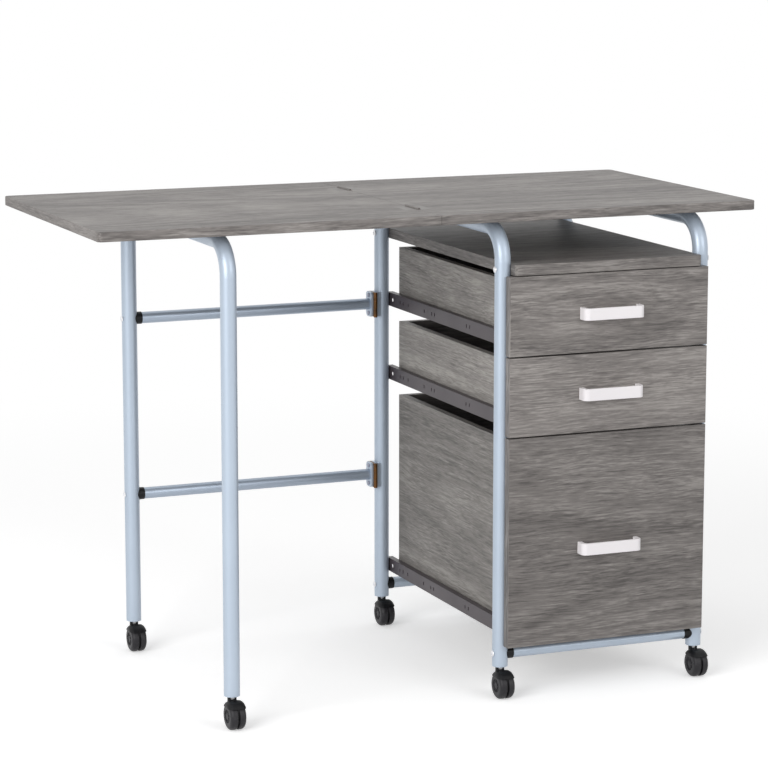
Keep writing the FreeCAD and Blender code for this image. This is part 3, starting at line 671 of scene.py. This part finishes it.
def in_scene(name: str, data: Any) -> bpy.types.Object:
    """An object for some data, put in the scene.

    Args:
        name: the object's name.
        data: its mesh, lamp or camera.

    Returns:
        The object.
    """
    found = bpy.data.objects.new(name, data)
    bpy.context.scene.collection.objects.link(found)
    return found


def point_object(name: str, places: Sequence[Place]) -> bpy.types.Object:
    """An object of loose points that each know which way to face.

    Args:
        name: the object's name.
        places: each point and its direction.

    Returns:
        The object, in the scene.
    """
    mesh = bpy.data.meshes.new(name)
    mesh.from_pydata([tuple(point) for point, _ in places], [], [])
    aims = mesh.attributes.new(AIM, "FLOAT_VECTOR", "POINT")
    for item, (_, direction) in zip(aims.data, places):
        item.vector = direction
    return in_scene(name, mesh)


def grow(piece: bpy.types.Object, tree: bpy.types.NodeTree, values: dict[str, Any]) -> None:
    """Run a geometry tree on a piece and keep the result as its plain mesh.

    Args:
        piece: the object to grow.
        tree: the geometry tree.
        values: the tree's inputs by name.
    """
    modifier = piece.modifiers.new("grow", "NODES")
    modifier.node_group = tree
    for item in tree.interface.items_tree:
        if item.item_type == "SOCKET" and item.in_out == "INPUT" and item.name in values:
            modifier[item.identifier] = values[item.name]
    graph = bpy.context.evaluated_depsgraph_get()
    mesh = bpy.data.meshes.new_from_object(piece.evaluated_get(graph), depsgraph=graph)
    piece.modifiers.remove(modifier)
    piece.data = mesh


def loose_part(source: bpy.types.Mesh, name: str, highest: bool) -> bpy.types.Object:
    """Copy the loose part of a mesh that reaches highest, or all the others.

    Args:
        source: the mesh to copy from, which stays as it is.
        name: the new object's name.
        highest: whether to copy the highest part or the rest.

    Returns:
        The new object, in the scene.
    """
    shape = bmesh.new()
    shape.from_mesh(source)
    bmesh.ops.remove_doubles(shape, verts=shape.verts, dist=MERGE)
    ahead = [max(shape.verts, key=lambda vert: vert.co.z)]
    top = set(ahead)
    while ahead:
        fresh = {edge.other_vert(vert) for vert in ahead for edge in vert.link_edges} - top
        top |= fresh
        ahead = list(fresh)
    others = [vert for vert in shape.verts if (vert in top) != highest]
    bmesh.ops.delete(shape, geom=others, context="VERTS")
    for face in shape.faces:
        face.smooth = True
    for edge in shape.edges:
        edge.smooth = edge.calc_face_angle(0.0) < CREASE
    mesh = bpy.data.meshes.new(name)
    shape.to_mesh(mesh)
    shape.free()
    return in_scene(name, mesh)


class Trees:
    """The geometry trees, each built once. Shares are of the head's or the disc's own size."""

    DOME_SEGMENTS, DOME_RINGS, DOME_FULLNESS = 28, 14, 0.5
    SHANK_SIDES, HOOP_SIDES, DISC_SIDES, FILLET_STEPS = 20, 72, 48, 9
    RECESS_FLOOR, RECESS_REACH = 0.45, 4.0
    CAP_SHARE, RIB_PLACE, RIB_SHARE = 0.5, 0.7, 0.6
    RIB_WIDTH, RIB_HEIGHT = 1.2 * MM, 1.6 * MM

    def __init__(self) -> None:
        """Build every tree."""
        self.fastener = self._fastener()
        self.wheel = self._wheel()

    @staticmethod
    def _start(name: str, *sizes: str) -> tuple[Graph, Any, Any]:
        """Start a geometry tree with its sizes, sides and material as named inputs.

        Args:
            name: the tree's name.
            sizes: the names of its sizes.

        Returns:
            The tree's graph, the sockets that it reads and its output node.
        """
        sockets = [("Geometry", "INPUT", "NodeSocketGeometry")]
        sockets.extend((size, "INPUT", "NodeSocketFloat") for size in sizes)
        sockets.append(("Sides", "INPUT", "NodeSocketInt"))
        sockets.append(("Material", "INPUT", "NodeSocketMaterial"))
        sockets.append(("Geometry", "OUTPUT", "NodeSocketGeometry"))
        g, start, end = new_group(name, "GeometryNodeTree", sockets)
        return g, start.outputs, end

    @staticmethod
    def _finish(g: Graph, given: Any, end: bpy.types.Node, shape: Socket) -> bpy.types.NodeTree:
        """Place a shape on every point along its aim, realise it, smooth it and dress it.

        Args:
            g: the tree's graph.
            given: the sockets that it reads.
            end: its output node.
            shape: the shape to place.

        Returns:
            The finished tree.
        """
        aim = g.add("GeometryNodeInputNamedAttribute", {"Name": AIM}, data_type="FLOAT_VECTOR")
        turn = g.add("FunctionNodeAlignRotationToVector", {"Vector": aim.outputs[0]}, axis="Z")
        set_out = g.add("GeometryNodeInstanceOnPoints", {
            "Points": given["Geometry"], "Instance": shape, "Rotation": turn.outputs[0]})
        real = g.add("GeometryNodeRealizeInstances", {"Geometry": set_out.outputs[0]})
        smooth = g.add("GeometryNodeSetShadeSmooth", {
            "Geometry": real.outputs[0], "Shade Smooth": True})
        angle = g.add("GeometryNodeInputMeshEdgeAngle").outputs[0]
        crease = g.add("GeometryNodeSetShadeSmooth", {
            "Geometry": smooth.outputs[0], "Selection": g.math("GREATER_THAN", angle, CREASE),
            "Shade Smooth": False}, domain="EDGE")
        painted = g.add("GeometryNodeSetMaterial", {
            "Geometry": crease.outputs[0], "Material": given["Material"]})
        g.tree.links.new(painted.outputs[0], end.inputs["Geometry"])
        return g.tree

    @staticmethod
    def _lifted(g: Graph, shape: Socket, height: Socket) -> Socket:
        """A shape, lifted along Z."""
        lift = g.add("ShaderNodeCombineXYZ", {2: height}).outputs[0]
        return g.add("GeometryNodeTransform", {"Geometry": shape, "Translation": lift}).outputs[0]

    def _dome(self, g: Graph, radius: Socket, height: Socket) -> Socket:
        """A full dome with a flat base at zero.

        Args:
            g: the graph to work in.
            radius: the dome's radius.
            height: the dome's height.

        Returns:
            The dome.
        """
        ball = g.add("GeometryNodeMeshUVSphere", {
            "Segments": self.DOME_SEGMENTS, "Rings": self.DOME_RINGS, "Radius": 1.0}).outputs[0]
        at = g.add("GeometryNodeInputPosition").outputs[0]
        x, y, z = g.add("ShaderNodeSeparateXYZ", {0: at}).outputs
        rise = g.math("POWER", g.math("MAXIMUM", z, 0.0), self.DOME_FULLNESS)
        spot = g.add("ShaderNodeCombineXYZ", {
            0: g.math("MULTIPLY", x, radius), 1: g.math("MULTIPLY", y, radius),
            2: g.math("MULTIPLY", rise, height)}).outputs[0]
        return g.add("GeometryNodeSetPosition", {"Geometry": ball, "Position": spot}).outputs[0]

    def _drum(self, g: Graph, sides: Any, radius: Socket, low: Any, high: Any) -> Socket:
        """A prism along Z between two heights.

        Args:
            g: the graph to work in.
            sides: the number of its sides.
            radius: its radius.
            low: where it begins.
            high: where it ends.

        Returns:
            The prism.
        """
        drum = g.add("GeometryNodeMeshCylinder", {
            "Vertices": sides, "Radius": radius, "Depth": g.math("SUBTRACT", high, low)}).outputs[0]
        return self._lifted(g, drum, g.math("MULTIPLY", g.math("ADD", low, high), 0.5))

    @staticmethod
    def _join(g: Graph, *shapes: Socket) -> Socket:
        """Join shapes into one.

        Args:
            g: the graph to work in.
            shapes: the shapes.

        Returns:
            All of them together.
        """
        joined = g.add("GeometryNodeJoinGeometry")
        for shape in shapes:
            g.tree.links.new(shape, joined.inputs[0])
        return joined.outputs[0]

    def _fastener(self) -> bpy.types.NodeTree:
        """A bolt or screw: a domed head with a recess, on a plain shank.

        Returns:
            The tree.
        """
        g, sizes, end = self._start("fastener", "Head Radius", "Head Height", "Recess Radius",
                                    "Shank Radius", "Shank Length")
        head = self._dome(g, sizes["Head Radius"], sizes["Head Height"])
        floor = g.math("MULTIPLY", sizes["Head Height"], self.RECESS_FLOOR)
        recess = self._drum(g, sizes["Sides"], sizes["Recess Radius"], floor,
                            g.math("MULTIPLY", floor, self.RECESS_REACH))
        cut = g.add("GeometryNodeMeshBoolean", {0: head, 1: recess}, operation="DIFFERENCE")
        shank = self._drum(g, self.SHANK_SIDES, sizes["Shank Radius"],
                           g.math("MULTIPLY", sizes["Shank Length"], -1.0), 0.0)
        return self._finish(g, sizes, end, self._join(g, cut.outputs[0], shank))

    def _wheel(self) -> bpy.types.NodeTree:
        """A caster wheel: a tread ring round a ribbed disc with a domed cap.

        Returns:
            The tree.
        """
        g, sizes, end = self._start("caster_wheel", "Radius", "Width", "Disc Radius", "Shoulder",
                                    "Rim", "Dish")
        face = g.math("SUBTRACT", sizes["Width"], sizes["Dish"])
        disc = self._drum(g, self.DISC_SIDES, g.math("ADD", sizes["Disc Radius"], sizes["Rim"]),
                          sizes["Rim"], face)
        cap_r = g.math("MULTIPLY", sizes["Disc Radius"], self.CAP_SHARE)
        cap = self._lifted(g, self._dome(g, cap_r, sizes["Dish"]), face)
        ribs = self._lifted(g, self._ribs(g, sizes), face)
        return self._finish(g, sizes, end, self._join(g, self._tread(g, sizes), disc, cap, ribs))

    def _tread(self, g: Graph, sizes: Any) -> Socket:
        """The ring that a wheel runs on, with a round outer shoulder.

        Args:
            g: the wheel's graph.
            sizes: the wheel's sizes.

        Returns:
            The ring, from zero up to the wheel's width.
        """
        depth = g.math("SUBTRACT", sizes["Radius"], sizes["Disc Radius"])
        outline = g.add("GeometryNodeCurvePrimitiveQuadrilateral", {
            "Width": depth, "Height": sizes["Width"]}, mode="RECTANGLE").outputs[0]
        at = g.add("GeometryNodeInputPosition").outputs[0]
        corner = g.add("ShaderNodeSeparateXYZ", {0: at}).outputs
        outer = g.math("MULTIPLY", g.math("GREATER_THAN", corner[0], 0.0),
                       g.math("LESS_THAN", corner[1], 0.0))
        extra = g.math("MULTIPLY", outer, g.math("SUBTRACT", sizes["Shoulder"], sizes["Rim"]))
        outline = g.add("GeometryNodeFilletCurve", {
            "Curve": outline, "Count": self.FILLET_STEPS, "Limit Radius": True,
            "Radius": g.math("ADD", sizes["Rim"], extra)}, mode="POLY").outputs[0]
        middle = g.math("MULTIPLY", g.math("ADD", sizes["Radius"], sizes["Disc Radius"]), 0.5)
        hoop = g.add("GeometryNodeCurvePrimitiveCircle", {
            "Resolution": self.HOOP_SIDES, "Radius": middle}).outputs[0]
        tread = g.add("GeometryNodeCurveToMesh", {"Curve": hoop, "Profile Curve": outline})
        return self._lifted(g, tread.outputs[0], g.math("MULTIPLY", sizes["Width"], 0.5))

    def _ribs(self, g: Graph, sizes: Any) -> Socket:
        """Low ribs that run out from the cap across a wheel's disc.

        Args:
            g: the wheel's graph.
            sizes: the wheel's sizes.

        Returns:
            The ribs, about height zero.
        """
        ring = g.add("GeometryNodeCurvePrimitiveCircle", {
            "Resolution": sizes["Sides"],
            "Radius": g.math("MULTIPLY", sizes["Disc Radius"], self.RIB_PLACE)}).outputs[0]
        tangent = g.add("GeometryNodeInputTangent").outputs[0]
        turn = g.add("FunctionNodeAlignRotationToVector", {"Vector": tangent}, axis="Y").outputs[0]
        size = g.add("ShaderNodeCombineXYZ", {
            0: g.math("MULTIPLY", sizes["Disc Radius"], self.RIB_SHARE),
            1: self.RIB_WIDTH, 2: self.RIB_HEIGHT}).outputs[0]
        rib = g.add("GeometryNodeMeshCube", {"Size": size}).outputs[0]
        return g.add("GeometryNodeInstanceOnPoints", {
            "Points": ring, "Instance": rib, "Rotation": turn}).outputs[0]


@dataclass
class Fasteners:
    """Every visible bolt of the frames."""

    tube_r: float = 12.5 * MM
    head_r: float = 5.0 * MM
    head_h: float = 2.2 * MM
    recess_r: float = 2.5 * MM
    recess_sides: int = 6
    shank_r: float = 3.0 * MM
    bite: float = 22.0 * MM

    def build(self, shop: Workshop, trees: Trees) -> None:
        """Make the bolts through the posts and through the rear leg.

        Args:
            shop: the workshop.
            trees: the geometry trees.
        """
        front, back = middle("front_bottom_rail"), middle("rear_bottom_rail")
        posts = ((middle("left_side_frame").x, -1), (middle("right_side_frame").x, 1))
        heights = (front.z, middle("drawer_shelf").z)
        unit = [self._seat(x, y, z, side)
                for x, side in posts for y in (front.y, back.y) for z in heights]
        leg, tubes = middle("leg_frame").x, ("lower_gate_tube", "upper_gate_tube")
        gate = [self._seat(leg, back.y, middle(tube).z, -1) for tube in tubes]
        self._set(shop, trees, "post_bolts", "drawer_unit", unit)
        self._set(shop, trees, "gate_bolts", "leg_gate", gate)

    def _seat(self, x: float, y: float, z: float, side: int) -> Place:
        """Where a bolt's head sits on one side of a tube, and the way that it faces."""
        return Vector((x + side * self.tube_r, y, z)), Vector((side, 0, 0))

    def _set(self, shop: Workshop, trees: Trees, node: str, body: str,
             places: Sequence[Place]) -> None:
        """Make the bolts of one body as one piece, which stands for their frame node.

        Args:
            shop: the workshop.
            trees: the geometry trees.
            node: the frame node.
            body: the body that they ride on.
            places: where each head sits, and the way that it faces.
        """
        piece = point_object(node + "_set", places)
        grow(piece, trees.fastener, {
            "Head Radius": self.head_r, "Head Height": self.head_h,
            "Recess Radius": self.recess_r, "Shank Radius": self.shank_r,
            "Shank Length": 2 * self.tube_r + self.bite, "Sides": self.recess_sides,
            "Material": shop.material(ZINC)})
        shop.keep(piece, body, "bright_screw", node)


@dataclass
class DeskTop:
    """The two halves of the desk top and the flush hinges between them."""

    halves: tuple[str, ...] = ("fixed_top", "folding_leaf")
    hinges: tuple[str, ...] = ("top_hinge_fixed_plates", "top_hinge_leaf_plates", "top_hinge_pins",
                               "top_hinge_fixed_screws", "top_hinge_leaf_screws")
    cut: tuple[float, float, float] = (0.4, 1.7, 0.2)

    def dress(self, shop: Workshop) -> None:
        """Give both halves one run of grain, and the hinges a coat of the boards' tone.

        Args:
            shop: the workshop.
        """
        fixed, leaf = self.halves
        strips = edge_strips(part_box(leaf)[0].x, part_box(fixed)[1].x, ALONG_DEPTH)
        board = board_finish("desk_top_board", Along.X, self.cut, across=strips)
        shop.dress(board, *self.halves)
        shop.dress(HINGE_COAT, *self.hinges)


@dataclass
class DrawerUnit:
    """The frames, rails, shelf and slides that hold the drawers."""

    tubes: tuple[str, ...] = ("left_side_frame", "right_side_frame", "front_bottom_rail",
                              "rear_bottom_rail", "post_hinge_pads")
    black: tuple[str, ...] = ("rail_caps", "unit_caster_sockets")
    slides: tuple[str, ...] = ("left_slide_rails", "right_slide_rails")
    screws: tuple[str, ...] = ("slide_screws", "top_fixing_screws", "post_hinge_screws")
    hinges: tuple[str, ...] = ("post_hinge_leaves", "gate_hinge_pins")
    shelf_cut: tuple[float, float, float] = (3.1, 0.6, 4.0)
    # a factor that makes the shelf's grain colours darker than the top's
    shelf_tone: float = 0.81

    def dress(self, shop: Workshop) -> None:
        """Give every node its finish.

        Args:
            shop: the workshop.
        """
        shop.dress(TUBE_COAT, *self.tubes)
        shop.dress(BLACK_PLASTIC, *self.black)
        shop.dress(SLIDE_COAT, *self.slides)
        shop.dress(NYLON, "slide_glides")
        shop.dress(ZINC, *self.screws)
        shop.dress(BRASS, *self.hinges)
        low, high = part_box("drawer_shelf")
        strips = edge_strips(low.x, high.x, ALONG_DEPTH)
        shelf = board_finish("shelf_board", Along.X, self.shelf_cut, self.shelf_tone, across=strips)
        shop.dress(shelf, "drawer_shelf")


@dataclass
class LegFrame:
    """The swinging frame under the folding half."""

    tubes: tuple[str, ...] = ("leg_frame", "gate_flanges")
    gate: tuple[str, ...] = ("upper_gate_tube", "lower_gate_tube")
    black: tuple[str, ...] = ("gate_caps", "leg_caster_sockets")

    def dress(self, shop: Workshop) -> None:
        """Give every node its finish.

        Args:
            shop: the workshop.
        """
        shop.dress(TUBE_COAT, *self.tubes)
        # the gate tubes' coat carries painted shade
        shop.dress(GATE_COAT_WITH_PAINTED_SHADE, *self.gate)
        shop.dress(BLACK_PLASTIC, *self.black)
        shop.dress(BRASS, "gate_hinge_leaves")
        shop.dress(STEEL, "gate_hinge_screws")


@dataclass
class Drawer:
    """One drawer, with its own cut of the board pattern."""

    name: str
    cut: float
    # a factor on the front's grain colours; the bottom front is the darkest
    tone: float
    # painted light: a factor on the box boards' colours that makes the middle and top boxes lighter
    # and the bottom one darker
    side_painted_light: float
    front_cut: float = 0.3
    side_cut: float = 0.7
    wall: float = 11.0 * MM
    back_margin: float = 2.0 * MM

    def dress(self, shop: Workshop) -> None:
        """Give the front, box, bottom, handle and runners their finishes.

        Args:
            shop: the workshop.
        """
        drawer = self.name + "_drawer"
        low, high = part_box(drawer + "_front")
        front = board_finish(drawer + "_front_board", Along.X,
                             (self.cut, self.front_cut, self.cut), self.tone,
                             across=edge_strips(low.x, high.x, ALONG_HEIGHT))
        shop.dress(front, drawer + "_front")
        shop.dress(self._box_finish(drawer), drawer + "_box")
        shop.dress(HARDBOARD, drawer + "_bottom")
        shop.dress(HANDLE_COAT, drawer + "_handle")
        shop.dress(RUNNER_COAT, drawer + "_runners")

    def _box_finish(self, drawer: str) -> Finish:
        """The finish of the box: grain along each board, and painted shade on its inside faces.

        Args:
            drawer: the first part of the nodes' names.

        Returns:
            The finish.
        """
        low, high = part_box(drawer + "_box")
        left, right, rear = low.x + self.wall, high.x - self.wall, high.y - self.wall
        # painted shade on the box's inside faces, from the side walls in to the back
        inside_shade = PaintedInsideShade((left, low.y - self.wall, low.z), (right, rear, high.z + self.wall))
        back = CrossGrain((left, rear - self.back_margin, -FAR), (right, FAR, FAR), ALONG_DEPTH)
        # the box's factor here is painted light on its boards
        return board_finish(drawer + "_side_board", Along.Y, (self.side_cut, self.cut, self.cut),
                            self.side_painted_light, Board.INNER, back, inside_shade)


@dataclass
class Caster:
    """One twin-wheel caster."""

    name: str
    web: float = 3.6 * MM
    shoulder: float = 6.0 * MM
    rim: float = 1.0 * MM
    dish: float = 1.5 * MM
    disc_r: float = 10.5 * MM
    ribs: int = 8

    def build(self, shop: Workshop, trees: Trees) -> None:
        """Make the hood, its stem and the wheel pair in place of their frame nodes."""
        self._hood(shop)
        self._wheels(shop, trees)

    def _hood(self, shop: Workshop) -> None:
        """Part the hood into its moulding and its bright stem.

        Args:
            shop: the workshop.
        """
        node, body = self.name + "_caster_hood", self.name + "_caster"
        source = shop.nodes[node].data
        moulding = loose_part(source, self.name + "_hood_moulding", highest=False)
        moulding.data.materials.append(shop.material(BLACK_PLASTIC))
        shop.keep(moulding, body, "black_plastic", node)
        stem = loose_part(source, self.name + "_hood_stem", highest=True)
        stem.data.materials.append(shop.material(ZINC))
        shop.keep(stem, body, "bright_screw")

    def _wheels(self, shop: Workshop, trees: Trees) -> None:
        """Make both wheels as one piece.

        Args:
            shop: the workshop.
            trees: the geometry trees.
        """
        node = self.name + "_caster_wheels"
        low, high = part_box(node)
        radius, width = (high.z - low.z) / 2, (high.x - low.x) / 2 - self.web / 2
        places = [(middle(node) + Vector((side * self.web / 2, 0, 0)), Vector((side, 0, 0)))
                  for side in (-1, 1)]
        piece = point_object(self.name + "_wheel_set", places)
        grow(piece, trees.wheel, {
            "Radius": radius, "Width": width, "Disc Radius": self.disc_r,
            "Shoulder": self.shoulder, "Rim": self.rim, "Dish": self.dish, "Sides": self.ribs,
            "Material": shop.material(WHEEL_PLASTIC)})
        shop.keep(piece, self.name + "_wheel_pair", "wheel_plastic", node)


# the side values paint light on the box sides, lighter for the middle and top drawers; tone makes
# the bottom front darker than the others
DRAWERS = (
    Drawer("bottom", cut=1.3, tone=0.79, side_painted_light=0.92),
    Drawer("middle", cut=2.9, tone=0.98, side_painted_light=1.25),
    Drawer("top", cut=4.4, tone=0.93, side_painted_light=1.22),
)
CASTERS = tuple(Caster(name) for name in (
    "left_front", "left_rear", "right_front", "right_rear", "leg_front", "leg_rear"))


@dataclass(frozen=True)
class Lamp:
    """A soft square lamp that faces a point."""

    name: str
    place: Corner
    target: Corner
    size: float
    power: float

    def hang(self) -> None:
        """Put the lamp in the scene."""
        data = bpy.data.lights.new(self.name, "AREA")
        data.size = self.size
        data.energy = self.power
        lamp = in_scene(self.name, data)
        lamp.location = self.place
        beam = Vector(self.target) - Vector(self.place)
        lamp.rotation_euler = beam.to_track_quat("-Z", "Y").to_euler()


LAMPS = (
    Lamp("key", (-3.2, -2.2, 1.7), (0.0, 0.0, 0.4), size=2.4, power=92.0),
    Lamp("fill", (1.6, -3.6, 1.9), (0.1, 0.0, 0.4), size=2.2, power=35.0),
    Lamp("overhead", (0.1, 0.3, 3.2), (0.1, 0.0, 0.7), size=2.6, power=8.0),
)


@dataclass
class Studio:
    """Camera, lamps, world and floor. Angles are in degrees."""

    eye: Corner = (-1.8005, -4.3888, 1.3137)
    yaw: float = 22.347
    pitch: float = 10.037
    lens: float = 139.3
    ambient: float = 0.44
    floor_r: float = 4.0
    floor_sides: int = 96
    floor_paint: tuple[float, ...] = (0.8, 0.8, 0.805, 1.0)
    floor_lift: float = 0.37
    far_glow: float = 0.5
    fade: tuple[float, float] = (1.1, 2.6)

    def build(self) -> None:
        """Set up everything around the object."""
        bpy.context.scene.view_settings.view_transform = "Standard"
        self._camera()
        for lamp in LAMPS:
            lamp.hang()
        self._world()
        self._floor()

    def _camera(self) -> None:
        """Put the camera at the photograph's viewing angle."""
        data = bpy.data.cameras.new("camera")
        data.lens = self.lens
        camera = in_scene("camera", data)
        camera.location = self.eye
        tilt, turn = math.radians(90.0 - self.pitch), math.radians(-self.yaw)
        camera.rotation_euler = (tilt, 0.0, turn)
        bpy.context.scene.camera = camera

    @staticmethod
    def _seen(g: Graph) -> Socket:
        """Tell the rays that show the background from those that only light the object.

        Args:
            g: the graph to work in.

        Returns:
            One where the background shows directly or in a reflection, and zero elsewhere.
        """
        path = g.add("ShaderNodeLightPath").outputs
        seen = g.math("MAXIMUM", path["Is Camera Ray"], path["Is Glossy Ray"])
        return g.math("MAXIMUM", seen, path["Is Transmission Ray"])

    def _world(self) -> None:
        """White where it is seen, and a plain level of light elsewhere."""
        world = bpy.data.worlds.new("studio")
        world.use_nodes = True
        g = Graph(world.node_tree)
        level = g.spread(self._seen(g), 0.0, 1.0, self.ambient, 1.0)
        sky = g.add("ShaderNodeBackground", {"Color": WHITE, "Strength": level})
        g.add("ShaderNodeOutputWorld", {"Surface": sky.outputs[0]})
        bpy.context.scene.world = world

    def _floor(self) -> None:
        """A pale round floor that keeps the shadow and fades to white."""
        mesh = bpy.data.meshes.new("floor")
        angles = [2 * math.pi * i / self.floor_sides for i in range(self.floor_sides)]
        ring = [(self.floor_r * math.cos(a), self.floor_r * math.sin(a), 0.0) for a in angles]
        mesh.from_pydata(ring, [], [list(range(self.floor_sides))])
        floor = in_scene("floor", mesh)
        mesh.materials.append(self._floor_material())

    def _floor_material(self) -> bpy.types.Material:
        """Matt white that is lifted to white where it is seen.

        Returns:
            The material.
        """
        material = bpy.data.materials.new("pale_floor")
        material.use_nodes = True
        g = Graph(material.node_tree)
        place = g.add("ShaderNodeTexCoord").outputs["Object"]
        length = g.add("ShaderNodeVectorMath", {0: place}, operation="LENGTH").outputs["Value"]
        seen = self._seen(g)
        paint = g.mix(seen, self.floor_paint, WHITE)
        matt = g.add("ShaderNodeBsdfDiffuse", {"Color": paint}).outputs[0]
        lift = g.add("ShaderNodeEmission", {
            "Color": WHITE, "Strength": g.math("MULTIPLY", seen, self.floor_lift)}).outputs[0]
        near = g.add("ShaderNodeAddShader", {0: matt, 1: lift}).outputs[0]
        glow = g.spread(seen, 0.0, 1.0, self.far_glow, 1.0)
        far = g.add("ShaderNodeEmission", {"Color": WHITE, "Strength": glow}).outputs[0]
        both = g.add("ShaderNodeMixShader", {0: g.spread(length, *self.fade), 1: near, 2: far})
        g.add("ShaderNodeOutputMaterial", {"Surface": both.outputs[0]})
        return material


def main() -> None:
    """Load the frame, dress it and set up the studio."""
    logging.basicConfig(level=logging.INFO, format="%(name)s: %(message)s")
    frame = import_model()
    shop = Workshop(frame)
    trees = Trees()
    DeskTop().dress(shop)
    DrawerUnit().dress(shop)
    LegFrame().dress(shop)
    for drawer in DRAWERS:
        drawer.dress(shop)
    for caster in CASTERS:
        caster.build(shop, trees)
    Fasteners().build(shop, trees)
    Studio().build()


if __name__ == "__main__":
    main()
